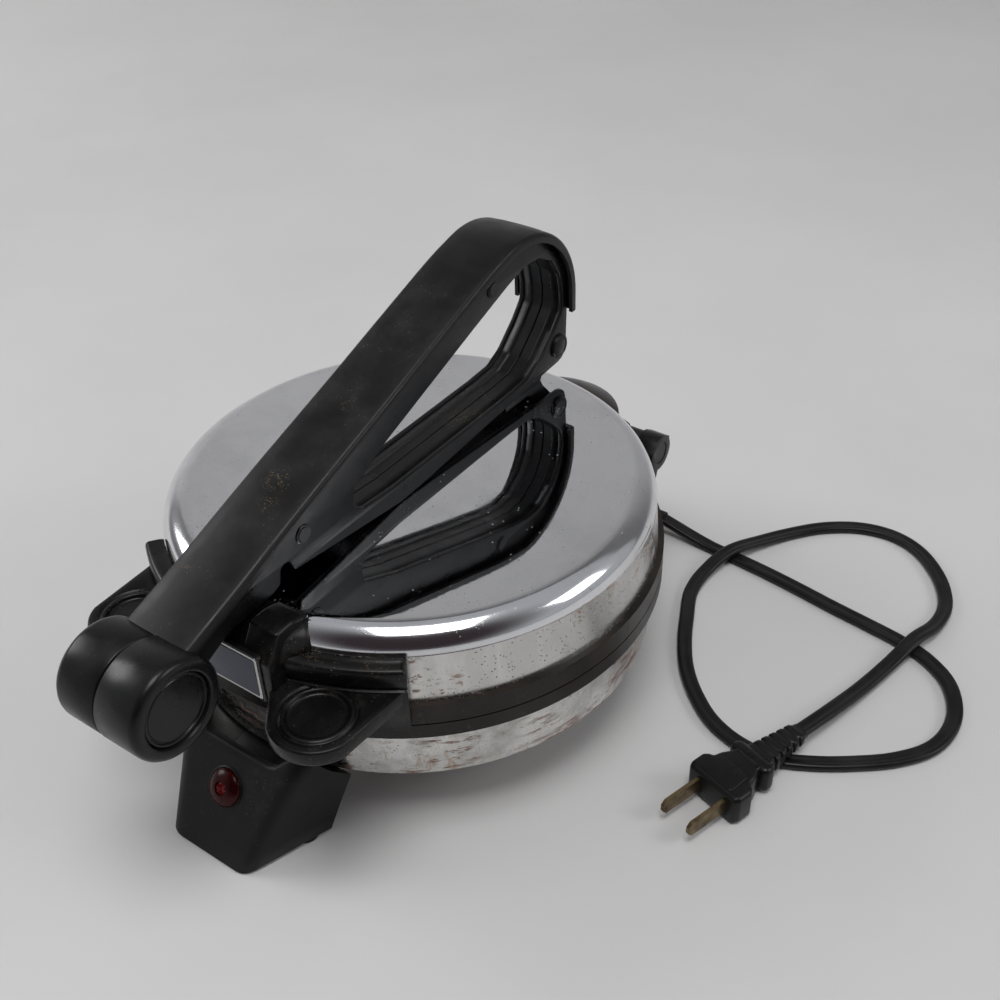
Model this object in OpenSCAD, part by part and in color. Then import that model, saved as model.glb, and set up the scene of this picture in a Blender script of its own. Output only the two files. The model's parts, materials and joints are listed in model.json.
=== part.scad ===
// Electric roti maker: a round countertop cooker with a hinged lid and a pressing lever.
// Millimetres. +Z is up and the front (grip side) is -Y. The modules are drawn about the middle of
// the round housing; the last block moves them all, so that the origin is on the table under the
// middle of the whole cooker, its free cord left out.

/* [Housing] */
// Radius of the cooking plates at their dark outer rim
plate_r = 95.8; // [88:0.2:104]
// Height of the chrome pan's underside above the table
pan_base_z = 26.5; // [24:0.5:34]
// Height of the lower chrome pan
pan_h = 23.7; // [21:0.1:30]
// How much narrower the pan is at its bottom
pan_taper = 3; // [1:0.5:6]
// Height of the lower plate's rim
lower_rim_h = 6; // [5:0.5:9]
// Height of the upper plate's rim
upper_rim_h = 8; // [7:0.5:11]
// Gap between the two rims when the lid is closed
rim_gap = 0.6; // [0.3:0.1:1.2]
// Sheet thickness of the chrome shells
sheet_t = 0.9; // [0.6:0.1:1.4]

/* [Lid] */
// Height of the lid's satin skirt
skirt_h = 19.7; // [16:0.1:26]
// Height of the lid's polished shoulder
shoulder_h = 7.8; // [5:0.1:11]
// Width of the polished shoulder, seen from above
shoulder_w = 7.9; // [6:0.1:11]
// How much the skirt widens towards its lower edge
skirt_flare = 1.5; // [0.5:0.1:2.5]

/* [Cooking plates] */
// Thickness of each cast plate behind its cooking face
plate_t = 5; // [4:0.5:6]
// Depth of the cooking face below the rim's edge
face_depth = 0.8; // [0.4:0.1:1.5]
// Diameter of the sheathed heating element
element_d = 6.6; // [5:0.1:7.5]
// Radius of the heating element's ring
element_r = 55; // [45:1:65]
// Thickness of the steel plate that clamps the element
clamp_t = 1.2; // [0.8:0.1:2]
// Diameter of the clamping stud in the middle of each plate
stud_d = 6; // [5:0.5:8]

/* [Rear hinge] */
// Distance of the hinge axis behind the rims
hinge_back = 4.2; // [3.5:0.1:6]
// Height of the hinge axis above the upper rim's lower edge
hinge_up = 4.2; // [3.6:0.1:5]
// Radius of the hinge knuckles
knuckle_r = 7.8; // [7:0.1:9]
// Width of one knuckle
knuckle_w = 9; // [7:0.5:12]
// Gap between the wiring cover and each inner knuckle
knuckle_gap = 6.5; // [4:0.1:8]
// Diameter of the hinge pins
hinge_pin_d = 5; // [4:0.1:6]

/* [Brackets] */
// Wall thickness of the brackets that hug the lid
bracket_t = 3.4; // [2.8:0.1:4.5]
// Half angle that the front bracket covers round the lid
front_bracket_angle = 38; // [34:1:44]
// Distance from the middle to each thumb rest
ear_x = 42; // [38:1:46]
// Outer radius of a thumb rest
ear_r = 16.5; // [14:0.5:18]
// Radius of the round recess in a thumb rest
ear_recess_r = 10.4; // [8:0.1:13]
// Thickness of a thumb rest
ear_t = 6; // [4.5:0.5:8]
// Half width of the middle block that carries the name plate
block_hw = 24; // [20:0.5:25]
// Width of the name plate
badge_w = 38; // [30:1:40]
// Height of the name plate
badge_h = 18; // [10:0.5:19]
// Radius of the domed cover over the wiring at the rear
wire_cover_hw = 27.7; // [24:0.1:32]
// Depth of the wiring cover behind the rims
wire_cover_depth = 31.6; // [29:0.1:33]

/* [Lever] */
// Height of the lever's pivot above the lid
pivot_h = 14.9; // [14:0.1:17]
// Diameter of the lever's pivot pin
pivot_d = 5; // [4:0.1:5.5]
// Half width of the lever over its side walls
lever_hw = 10.5; // [9.5:0.1:12]
// Wall thickness of the lever's shells
lever_wall = 2; // [1.6:0.1:2.4]
// Height of the raised lips along the inner strip
lip_h = 0.8; // [0.4:0.1:1.2]
// Half width of the cover over the lever
cover_hw = 14; // [13:0.1:15]
// Thickness of the cover over the lever
cover_t = 2; // [1.5:0.1:2.5]
// Depth of the cover's side lips
cover_lip = 4; // [3:0.5:5]
// Radius of the curve at the lever's rear top
bow_r = 36.4; // [34:0.1:38]
// Radius of the round grip
grip_r = 17.4; // [15:0.1:19]
// Half length of the round grip
grip_hl = 18.2; // [16:0.1:24]
// Radius of the end caps in the grip
grip_cap_r = 12.5; // [8:0.1:12.8]
// Distance of the grip's axis in front of the rims
grip_out = 38.1; // [36:0.1:44]
// Height of the grip's axis above the lid; below it when negative
grip_up = -1.9; // [-4:0.1:2]

/* [Feet] */
// Thickness of the rubber pads under the feet
pad_t = 1.5; // [1:0.1:3]
// Half width of the front foot at its front lower edge
foot_front_hw = 18.2; // [16:0.1:24]
// Half width of the front foot at its rear lower edge
foot_rear_hw = 33.4; // [30:0.1:36]
// How far the front foot reaches in front of the rims
foot_out = 30.3; // [26:0.1:34]
// Wall thickness of the feet
foot_wall = 2.5; // [2:0.1:3.5]
// Radius of the indicator lens
lens_r = 7; // [5:0.5:8.5]
// Height of the indicator lens above the table
lens_z = 22.3; // [18:0.1:24]
// How far the rear foot reaches behind the rims
rear_foot_out = 35; // [33.5:0.5:40]
// Half width of the rear foot where the cord leaves it
rear_foot_hw = 20; // [16:0.5:26]

/* [Cord and plug] */
// Width of the flat twin cord
cord_w = 6.3; // [5.5:0.1:7]
// Height of the flat twin cord
cord_h = 3.2; // [2.8:0.1:3.6]
// Length of the cord's tapered sleeve at the rear foot
sleeve_l = 22; // [20:0.5:22]
// Spacing of the plug's blades
blade_gap = 12.7; // [12:0.1:13.5]
// Length of the plug's blades
blade_l = 17.5; // [15:0.5:19]
// Width of one blade
blade_w = 6.3; // [5.5:0.1:7]
// Thickness of one blade
blade_t = 1.5; // [1:0.1:2]

/* [Hidden] */
$fn = 96;

// Clearances
seat = 0.2;
fit = 0.05;
run = 0.3;

// Heights of the stack, from the table up
z_pan_top = pan_base_z + pan_h;
z_low_rim = z_pan_top + lower_rim_h;
z_up_rim = z_low_rim + rim_gap;
z_skirt = z_up_rim + upper_rim_h;
z_crease = z_skirt + skirt_h;
z_top = z_crease + shoulder_h;

// Radii of the round housing
rim_w = 7.8;
pan_top_r = plate_r - 1.3;
pan_bottom_r = pan_top_r - pan_taper;
skirt_r = plate_r - 2.2;
crease_r = skirt_r - skirt_flare;
flat_r = crease_r - shoulder_w;

// Cooking plates
z_low_face = z_low_rim - face_depth;
z_low_back = z_low_face - plate_t;
z_up_face = z_up_rim + face_depth;
z_up_back = z_up_face + plate_t;
spigot_h = 3;
clamp_r = element_r + 12;
clamp_gap = element_d + 2 * fit;
nut_h = 5;
nut_af = stud_d * 1.7;
stud_l = clamp_gap + clamp_t + nut_h + 2;
element_tail = 14;
tab_drop = 13;

// Screws that hold the feet and the pan to bosses of the lower plate
foot_screw_angles = [65, 115, 270];
foot_screw_r = 78;
foot_screw_d = 4;
foot_boss_r = 5;
screw_head_h = 2.4;
foot_roof_z = pan_base_z - seat - foot_wall;

// Leads inside
lead_r = 1;
rear_lead_y = 74;
front_lead_x = 6;
front_lead_y = -86;
lead_x = [-4.2, -1.4, 1.4, 4.2];
sleeve_up_y = 4.5;
lid_lead_x = 8;
lid_lead_z = 4.5;

// Hinge
hinge_y = plate_r + hinge_back;
hinge_z = z_up_rim + hinge_up;
knuckle_x = wire_cover_hw + knuckle_gap;
arm_x = knuckle_x + knuckle_w + run;
arm_out_x = arm_x + knuckle_w;
pin_head_r = hinge_pin_d / 2 + 2;
pin_head_h = 1.5;
hub_r = knuckle_r - 1;
arm_front_y = hinge_y - 13.5;
arm_rear_y = hinge_y - 5;
block_front_y = hinge_y - 13;

// Domed cover over the leads at the rear
wire_cover_y = plate_r + wire_cover_depth - wire_cover_hw;
wire_cover_z = hinge_z + 1;
dome_edge_z = wire_cover_z + 2.2;
dome_rise = 12.8;

// Brackets
wall_in_r = plate_r + run;
wall_out_r = wall_in_r + bracket_t;
wall_bottom_z = z_up_rim + 0.4;
ear_y = -(plate_r + 5.9);
ear_top_z = z_crease - 9.5;
ear_recess_d = 1.2;
block_y = -(plate_r + 6.7);
block_bottom_z = ear_top_z - ear_t - 0.8;
cheek_z = z_top + 3.5;
bracket_top_z = z_crease;
rear_wall_z = z_crease - 5;
badge_t = 0.8;
badge_z = z_crease - 6.3;
plate_screw_d = 3.5;
plate_screw_head_r = 2.4;
plate_screw_l = 11;
plate_screw_z = (z_up_face + z_up_back) / 2;
front_screw_angle = 22;
rear_screw_angle = 12;
rear_wall_angle = asin((arm_x - run - 0.4) / wall_out_r);

// Lever: y is measured from the rims, z from the top of the lid
function front_y(out) = -(plate_r + out);
function rear_y(inside) = plate_r - inside;
function up(h) = z_top + h;
pivot_y = rear_y(10.7);
pivot_z = up(pivot_h);
bow_y = rear_y(38);
bow_z = up(pivot_h + 22.1);
cover_top = concat(
    [[front_y(25.2), up(12.7)], [front_y(4.2), up(20)], [front_y(-38.3), up(35.6)],
     [-24, up(47.3)], [0, up(56)], [rear_y(59.8), up(68.8)]],
    [for (a = [106:-10.6:0]) [bow_y + bow_r * cos(a), bow_z + bow_r * sin(a)]],
    [[bow_y + bow_r, up(pivot_h + 13.8)]]);
plate_under = [[rear_y(4.7), up(12.5)], [rear_y(5.6), up(9.6)], [rear_y(7.6), up(7.8)],
    [rear_y(10.5), up(7)], [rear_y(25), up(6.2)], [-18, up(run)], [-36, up(2.4)],
    [front_y(-25.5), up(6.9)], [front_y(-12), up(4.6)], [front_y(8), up(3.3)],
    [front_y(22), up(-3)]];
opening = [[front_y(-53.8), up(13)], [front_y(-53.8), up(20.5)], [-23, up(29.4)],
    [rear_y(66.8), up(48.4)], [rear_y(43.8), up(56.5)], [rear_y(33), up(59.4)],
    [rear_y(24), up(59)], [rear_y(14.5), up(54)], [rear_y(9), up(45.5)], [rear_y(7.3), up(37)],
    [rear_y(7.3), up(29.5)], [rear_y(13.8), up(22.2)], [rear_y(24), up(13.3)],
    [rear_y(31.8), up(9.6)], [rear_y(45), up(8.9)], [-20, up(8.5)], [front_y(-58), up(9.9)]];
notch_y = front_y(-19.8);
notch_r = 2.6;
boss_r = 3.5;
lever_screw_d = 3;
boss_points = [[front_y(-28.4), up(18.4)], [rear_y(54.2), up(59.4)]];
grip_y = front_y(grip_out);
grip_z = up(grip_up);
grip_wall = 3;
cap_t = 2;
cap_inset = 1.2;
lug_hw = 6;
lug_hub_r = 4.2;
pivot_head_r = 5;
pivot_head_h = 1.6;
lug_front_y = rear_y(42);
lug_rear_y = rear_y(17);
lug_foot_h = 2.6;
lug_screw_d = 3;
lug_screw_y = [rear_y(38.5), rear_y(30.5)];

// Front foot: the front face leans back by this much for each millimetre of height
lean = 0.64;
flare = 0.23;
rear_flare = 0.1;
foot_front_y = front_y(foot_out);
foot_top_z = pan_base_z + 13.5;
foot_dip_z = pan_base_z + 8;
foot_back_y = front_y(-12);
wing_y = front_y(-1.8);
wing_lean = 0.34;
foot_arm_hw = 10;
foot_arm_back_y = -66;
foot_arm_z = 12;
lens_y = foot_front_y + lean * lens_z;
lean_angle = atan(lean);

// Rear foot
rear_foot_y = plate_r + rear_foot_out;
rear_foot_z = pan_base_z - seat;
rear_foot_in_y = 62;
rear_side_y = hinge_y - 2;
foot_cover_t = 0.5;

// Pads under the feet
pad_r = 5;
pad_seat_h = 6;
front_pads = [for (s = [-1, 1]) each [[s * (foot_front_hw - 5), foot_front_y + 12],
    [s * (foot_rear_hw - 11), wing_y - 5]]];
rear_pads = [for (s = [-1, 1]) each [[s * (arm_out_x - 7), rear_foot_in_y + 9],
    [s * (rear_foot_hw - 8), rear_foot_y - 20]]];

sleeve_y = rear_foot_y - 6.8;
sleeve_z = 6.5;
sleeve_r = 4.4;

// Plug: the middle of its blades' roots, its heading and its height
plug_pos = [136.6, -8.6];
plug_angle = 73;
plug_body_l = 19;
plug_collar_l = 6;
plug_relief_l = 24;
plug_t = 13.4;
plug_z = plug_t / 2 + 0.1;
plug_end = plug_pos + (plug_body_l + plug_collar_l + plug_relief_l - 1) * [cos(plug_angle), sin(plug_angle)];

// Route of the free cord, from the sleeve to the plug
cord_route = [[rear_foot_hw + sleeve_l + 2, sleeve_y, sleeve_z], [66, 123.2, 2.2], [80, 122.2, 1.8],
    [96, 120.6, 1.8], [112, 118.4, 1.8], [130, 115.4, 1.8], [147, 113, 1.8], [163, 110.4, 1.8],
    [176, 106, 1.8], [187, 98, 1.8], [194, 86, 1.8], [196, 73, 1.8], [193, 60, 1.8], [184, 48, 1.8],
    [172, 38, 1.8], [160, 30, 1.8], [147, 24, 1.8], [133, 23.4, 1.8], [119, 28, 1.8], [107, 37, 1.8],
    [97, 48, 1.8], [89, 61, 1.8], [82, 76, 1.8], [76, 91, 1.9], [75.5, 106, 3.2], [79.5, 121.5, 5.6],
    [87, 138, 3.4], [96, 153, 1.9], [107, 165, 1.8], [121, 173.5, 1.8], [136, 175.5, 1.8],
    [150, 170, 1.8], [163, 157, 1.8], [170.5, 142, 1.9], [171.5, 126, 3.4], [168, 111, 5.6],
    [164.5, 95, 3.6], [160.5, 76, 3.6], [156.3, 58, 5.2], [plug_end[0], plug_end[1], plug_z]];
cord_sides = 8;

// Offsets an open path to its left by d, with mitred corners
function unit(v) = v / norm(v);
function left_of(v) = [-v[1], v[0]];
function edge_normal(p, i) = left_of(unit(p[i + 1] - p[i]));
function path_normal(p, i) =
    i == 0 ? edge_normal(p, 0) :
    i == len(p) - 1 ? edge_normal(p, i - 1) :
    let (a = edge_normal(p, i - 1), b = edge_normal(p, i), m = unit(a + b)) m / (m * a);
function offset_path(p, d) = [for (i = [0:len(p) - 1]) p[i] + d * path_normal(p, i)];
// Offsets a closed outline to its left by d
function loop_normal(p, i) =
    let (n = len(p), a = left_of(unit(p[i] - p[(i + n - 1) % n])),
         b = left_of(unit(p[(i + 1) % n] - p[i])), m = unit(a + b)) m / (m * a);
function offset_loop(p, d) = [for (i = [0:len(p) - 1]) p[i] + d * loop_normal(p, i)];
function reversed(p) = [for (i = [len(p) - 1:-1:0]) p[i]];

// Smooth curve through the cord's points, two rings to each stretch
function spline(a, b, c, d, t) =
    0.5 * (2 * b + (c - a) * t + (2 * a - 5 * b + 4 * c - d) * t * t
    + (3 * b - a - 3 * c + d) * t * t * t);
function curve_point(p, i, t) =
    let (n = len(p) - 1) spline(p[max(i - 1, 0)], p[i], p[min(i + 1, n)], p[min(i + 2, n)], t);
cord_points = concat([for (i = [0:len(cord_route) - 2]) for (t = [0, 0.5]) curve_point(cord_route, i, t)],
    [cord_route[len(cord_route) - 1]]);
function cord_heading(i) =
    i == 0 ? [1, 0, 0] :
    i == len(cord_points) - 1 ? [-cos(plug_angle), -sin(plug_angle), 0] :
    unit(cord_points[i + 1] - cord_points[i - 1]);
function cord_ring(i) =
    let (h = cord_heading(i), s = unit(cross([0, 0, 1], h)), u = cross(h, s))
    [for (k = [0:cord_sides - 1]) let (a = 360 * (k + 0.5) / cord_sides)
        cord_points[i] + s * cord_w / 2 * cos(a) / cos(180 / cord_sides)
        + u * cord_h / 2 * sin(a) / cos(180 / cord_sides)];

// Draws an outline in the YZ plane and gives it a thickness along X, from x0 to x1
module along_x(x0, x1) {
    translate([x0, 0, 0])
    rotate([90, 0, 90])
    linear_extrude(x1 - x0)
    children();
}

// A round bar along X
module bar_x(x0, x1, r, y, z) {
    translate([x0, y, z])
    rotate([0, 90, 0])
    cylinder(h = x1 - x0, r = r);
}

// A screw with its head's underside at the origin and its shank along -Z
module screw(d, head_r, head_h, length) {
    translate([0, 0, -length])
    cylinder(h = length + head_h / 2, d = d);
    cylinder(h = head_h, r = head_r);
}

// Outline of the lid from its skirt's lower edge to its middle, moved out by g
shoulder_a = shoulder_w / (cos(5) - cos(75));
shoulder_b = shoulder_h / (sin(75) - sin(5));
function lid_outline(g) = concat(
    [[skirt_r + g, z_skirt]],
    [for (a = [5:10:75]) [crease_r - shoulder_a * (cos(5) - cos(a)) + g * cos(a),
        z_crease + shoulder_b * (sin(a) - sin(5)) + g * sin(a)]],
    [[0, z_top + g * sin(75)]]);

module lid_space(g) {
    rotate_extrude()
    polygon(concat(lid_outline(g), [[0, z_skirt]]));
}

// ---- Base ----

module lower_pan() {
    color("gainsboro")
    difference() {
        rotate_extrude()
        polygon([[0, pan_base_z], [pan_bottom_r - 2, pan_base_z], [pan_bottom_r, pan_base_z + 1.5],
            [pan_top_r, z_pan_top], [pan_top_r - sheet_t, z_pan_top],
            [pan_bottom_r - sheet_t, pan_base_z + 2], [pan_bottom_r - 2.4, pan_base_z + sheet_t],
            [0, pan_base_z + sheet_t]]);
        for (a = foot_screw_angles)
            rotate([0, 0, a])
            translate([foot_screw_r, 0, pan_base_z - 1])
            cylinder(h = sheet_t + 2, d = foot_screw_d + 2 * seat);
        lead_holes();
    }
}

// Holes for the leads in the pan's floor and the roofs of the feet
module lead_holes() {
    translate([0, rear_lead_y, foot_roof_z - 1])
    cylinder(h = foot_wall + sheet_t + 3, r = 6.5);
    translate([front_lead_x, front_lead_y, foot_roof_z - 1])
    cylinder(h = foot_wall + sheet_t + 3, r = 2.5);
}

module plate_disc(z_face, z_back, z_rim, z_rim_back, spigot_r, spigot_z) {
    // Negative heights run downwards: the same form serves both plates
    rotate_extrude()
    polygon([[0, z_face], [plate_r - rim_w, z_face], [plate_r - rim_w + 1.5, z_rim], [plate_r, z_rim],
        [plate_r, z_rim_back], [spigot_r, z_rim_back], [spigot_r, spigot_z],
        [spigot_r - 3, spigot_z], [spigot_r - 3, z_back], [0, z_back]]);
}

module lower_plate() {
    color("#2b2320") {
        difference() {
            union() {
                plate_disc(z_low_face, z_low_back, z_low_rim, z_pan_top,
                    pan_top_r - sheet_t - run - pan_taper * spigot_h / pan_h, z_pan_top - spigot_h);
                translate([0, 0, z_low_back - stud_l])
                cylinder(h = stud_l + 1, d = stud_d);
                for (a = foot_screw_angles)
                    rotate([0, 0, a])
                    translate([foot_screw_r, 0, pan_base_z + sheet_t])
                    cylinder(h = z_low_back - pan_base_z - sheet_t + 1, r = foot_boss_r);
            }
            for (a = foot_screw_angles)
                rotate([0, 0, a])
                translate([foot_screw_r, 0, pan_base_z])
                cylinder(h = 14, d = foot_screw_d + 2 * fit);
        }
    }
}

module element_ring(z) {
    rotate([0, 0, 105])
    rotate_extrude(angle = 330)
    translate([element_r, z])
    circle(d = element_d);
    for (s = [-1, 1])
        rotate([0, 0, 90 + s * 15])
        translate([element_r, 0, z])
        rotate([0, 90, 0])
        cylinder(h = element_tail, d = element_d - 1.6);
}

module lower_element() {
    color("dimgray")
    element_ring(z_low_back - fit - element_d / 2);
}

module clamp_plate(z) {
    translate([0, 0, z])
    difference() {
        cylinder(h = clamp_t, r = clamp_r);
        translate([0, 0, -1])
        cylinder(h = clamp_t + 2, d = stud_d + 2 * seat);
    }
}

module clamp_nut(z) {
    translate([0, 0, z])
    difference() {
        cylinder(h = nut_h, d = nut_af / cos(30), $fn = 6);
        translate([0, 0, -1])
        cylinder(h = nut_h + 2, d = stud_d + 2 * fit);
    }
}

module lower_clamp_plate() {
    color("silver")
    clamp_plate(z_low_back - clamp_gap - clamp_t);
}

module lower_clamp_nut() {
    color("silver")
    clamp_nut(z_low_back - clamp_gap - clamp_t - nut_h);
}

module thermostat() {
    // Snap disc thermostat on the back of the lower plate, with its two tabs
    thermostat_x = 22;
    color("ivory") {
        translate([thermostat_x, 0, z_low_back - clamp_gap - clamp_t - 8])
        cylinder(h = 8, r = 8);
        for (s = [-1, 1])
            translate([thermostat_x - 0.4, s * 5 - 3, z_low_back - clamp_gap - clamp_t - tab_drop])
            cube([0.8, 6, 6]);
    }
}

module thermal_fuse() {
    // Fuse in a clip under the clamp plate
    fuse_z = z_low_back - clamp_gap - clamp_t;
    color("silver") {
        translate([0, 18, fuse_z - 2.6])
        bar_x(-30, -19, 2, 0, 0);
        translate([-26.5, 14, fuse_z - 1])
        cube([4, 8, 1]);
    }
}

module foot_screws() {
    color("silver")
    for (a = foot_screw_angles)
        rotate([0, 0, a])
        translate([foot_screw_r, 0, foot_roof_z - fit])
        mirror([0, 0, 1])
        screw(foot_screw_d, foot_screw_d, screw_head_h, foot_wall + seat + 11);
}

// Heading of a lead at its point i
function lead_heading(p, i) =
    i == 0 ? unit(p[1] - p[0]) :
    i == len(p) - 1 ? unit(p[i] - p[i - 1]) :
    unit(unit(p[i] - p[i - 1]) + unit(p[i + 1] - p[i]));
function lead_ring(p, i) =
    let (h = lead_heading(p, i), s = unit(cross(abs(h[2]) > 0.9 ? [0, 1, 0] : [0, 0, 1], h)), u = cross(h, s))
    [for (k = [0:7]) p[i] + lead_r * (s * cos(45 * k) + u * sin(45 * k))];

// A round insulated lead through its points
module lead(points) {
    n = len(points);
    polyhedron(
        points = [for (i = [0:n - 1]) each lead_ring(points, i)],
        faces = concat(
            [for (i = [0:n - 2]) for (k = [0:7]) [i * 8 + k, i * 8 + (k + 1) % 8, (i + 1) * 8 + k]],
            [for (i = [0:n - 2]) for (k = [0:7])
                [i * 8 + (k + 1) % 8, (i + 1) * 8 + (k + 1) % 8, (i + 1) * 8 + k]],
            [for (k = [1:6]) [0, k + 1, k]],
            [for (k = [1:6]) [(n - 1) * 8, (n - 1) * 8 + k, (n - 1) * 8 + k + 1]]));
}

module base_leads() {
    // From the terminal block to both ends of the element, the thermostat and the lamp
    end_x = (element_r + element_tail) * cos(75);
    end_y = (element_r + element_tail) * sin(75);
    end_z = z_low_back - clamp_gap / 2;
    block_y0 = block_front_y - 0.5;
    down_z = foot_roof_z - 3;
    tab_z = z_low_back - clamp_gap - clamp_t - tab_drop + 1;
    loop_z = pan_base_z + 4.5;
    color("lightgray") {
        lead([[end_x + 0.5, end_y + 0.6, end_z], [end_x - 2, end_y + 5, end_z - 6],
            [lead_x[3], rear_lead_y, loop_z], [lead_x[3], rear_lead_y, down_z], [10, block_y0, down_z - 1]]);
        lead([[-end_x - 0.5, end_y + 0.6, end_z], [-end_x + 2, end_y + 5, end_z - 6],
            [lead_x[0], rear_lead_y, loop_z], [lead_x[0], rear_lead_y, down_z], [-10, block_y0, down_z - 1]]);
        lead([[22, 9, tab_z], [16, 55, loop_z], [lead_x[2], rear_lead_y, loop_z], [lead_x[2], rear_lead_y, down_z],
            [3.5, block_y0, down_z - 1]]);
        lead([[0, lens_y + 12.2, lens_z - 7], [front_lead_x, front_lead_y, foot_arm_z + 6],
            [front_lead_x, front_lead_y, loop_z - 1], [11, 40, loop_z - 1], [lead_x[1], rear_lead_y, loop_z - 1],
            [lead_x[1], rear_lead_y, down_z], [-3.5, block_y0, down_z - 1]]);
    }
}

module lead_sleeve() {
    // Sleeve that takes the leads of the upper element up through the roof of the rear foot. It
    // ends under the lowest sweep of the wiring cover's rear edge.
    sweep_r = norm([wire_cover_y + wire_cover_hw - hinge_y, dome_edge_z - hinge_z]);
    color("#202022")
    translate([0, hinge_y + sleeve_up_y, rear_foot_z - foot_wall - 2])
    difference() {
        union() {
            cylinder(h = hinge_z - sweep_r - 1.5 - rear_foot_z + foot_wall + 2, r = 3);
            translate([0, 0, foot_wall + 2 + fit])
            cylinder(h = 1.5, r = 4.4);
        }
        translate([0, 0, -1])
        cylinder(h = 60, r = 2);
    }
}

// Solid wedge of the front foot, moved in by g at its front and sides and out by g at its back
module foot_wedge(g, z0, z1) {
    function front_x(z) = foot_front_hw + flare * z - g * 1.07;
    function back_x(z) = foot_rear_hw + rear_flare * z - g * 1.07;
    function face_y(z) = foot_front_y + lean * z + g * 1.19;
    function ring(z) = [[-front_x(z), face_y(z), z], [front_x(z), face_y(z), z],
        [back_x(z), foot_back_y + g, z], [-back_x(z), foot_back_y + g, z]];
    polyhedron(
        points = concat(ring(z0), ring(z1)),
        faces = [[0, 1, 2], [0, 2, 3], [6, 5, 4], [7, 6, 4], [1, 0, 4, 5], [2, 1, 5], [2, 5, 6],
            [3, 2, 6, 7], [0, 3, 7], [0, 7, 4]]);
}

// Space that the pan takes, moved out by g
module pan_space(g) {
    rotate_extrude()
    polygon([[0, pan_base_z - g], [pan_bottom_r - 2 + g, pan_base_z - g],
        [pan_bottom_r + g, pan_base_z + 1.5 - g], [pan_top_r + g, z_pan_top], [0, z_pan_top]]);
}

// Clearance holes for the foot screws in the roofs of the feet
module foot_screw_holes() {
    for (a = foot_screw_angles)
        rotate([0, 0, a])
        translate([foot_screw_r, 0, foot_roof_z - 1])
        cylinder(h = foot_wall + 2, d = foot_screw_d + 2 * seat);
}

// Side view of the front foot's walls: the wings rise behind to the pan's underside
module foot_side_view() {
    under_pan_z = pan_base_z - seat;
    along_x(-60, 60)
    polygon([[foot_front_y - 2, 0], [wing_y, 0], [wing_y + wing_lean * under_pan_z, under_pan_z],
        [wing_y + 2.5, under_pan_z], [wing_y + 1.5, under_pan_z + 7], [wing_y - 5, foot_top_z],
        [foot_front_y - 2, foot_top_z]]);
}

// Arm of the front foot under the pan, moved in by g
module foot_arm(g) {
    front = foot_front_y + 1.5 + g;
    along_x(-foot_arm_hw + g, foot_arm_hw - g)
    polygon([[front + lean * foot_arm_z, foot_arm_z - g], [front + lean * (rear_foot_z - g), rear_foot_z - g],
        [foot_arm_back_y - g, rear_foot_z - g], [foot_arm_back_y - g, foot_arm_z + 7 - 2 * g],
        [foot_back_y, foot_arm_z - g]]);
}

module front_foot() {
    // Leaning front plate with two wings, and an arm in the middle that carries the pan
    color("#17171a")
    difference() {
        union() {
            intersection() {
                difference() {
                    foot_wedge(0, pad_t, foot_top_z);
                    foot_wedge(foot_wall, pad_t - 1, foot_top_z + 1);
                }
                foot_side_view();
            }
            for (p = front_pads)
                translate([p[0], p[1], pad_t])
                cylinder(h = pad_seat_h, r = pad_r + 1);
            foot_arm(0);
        }
        foot_arm(foot_wall - 0.5);
        // Dip in the middle of the front plate's upper edge
        translate([0, foot_back_y, 0])
        rotate([90, 0, 0])
        linear_extrude(60)
        polygon([[-foot_front_hw + 1, foot_dip_z], [foot_front_hw - 1, foot_dip_z],
            [foot_front_hw + 4, foot_top_z + 1], [-foot_front_hw - 4, foot_top_z + 1]]);
        pan_space(seat);
        foot_screw_holes();
        lead_holes();
        translate([0, lens_y, lens_z])
        rotate([90 - lean_angle, 0, 0])
        translate([0, 0, -8])
        cylinder(h = 20, r = lens_r - 1.2);
    }
}

module indicator_lens() {
    // The lens and its flange sit on the leaning front face
    color("#8c0c10")
    translate([0, lens_y, lens_z])
    rotate([90 - lean_angle, 0, 0])
    difference() {
        union() {
            translate([0, 0, seat])
            rotate_extrude()
            polygon([[0, -6], [lens_r - 1.5, -6], [lens_r - 1.5, 0], [lens_r, 0], [lens_r, 0.8],
                [lens_r - 1, 1.6], [lens_r - 3, 2.4], [lens_r - 5, 2.8], [0, 3]]);
        }
        translate([0, 0, -7])
        cylinder(h = 7.6, r = 3.4);
    }
}

module neon_lamp() {
    color("orange")
    translate([0, lens_y, lens_z])
    rotate([90 - lean_angle, 0, 0])
    translate([0, 0, -13])
    union() {
        cylinder(h = 12, r = 2.9);
        translate([0, 0, 12])
        sphere(r = 1.2);
    }
}

module foot_pads() {
    color("#2a2a2a")
    for (p = concat(front_pads, rear_pads))
        translate([p[0], p[1], 0])
        cylinder(h = pad_t, r = pad_r);
}

// Plan of the rear foot, moved in by g
module rear_foot_plan(g) {
    polygon(offset_loop([[-arm_out_x, rear_foot_in_y], [arm_out_x, rear_foot_in_y],
        [arm_out_x, rear_side_y], [rear_foot_hw, rear_foot_y], [-rear_foot_hw, rear_foot_y],
        [-arm_out_x, rear_side_y]], g));
}

// Square seat of the cord's sleeve in the slanted wall, moved out by g
module sleeve_seat(g) {
    low = pad_t + foot_cover_t + 2 * fit;
    translate([rear_foot_hw - 3 - g, sleeve_y - 6.4 - g, low - g])
    cube([6 + 2 * g, 12.8 + 2 * g, sleeve_z + 6.4 - low + 2 * g]);
}

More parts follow.
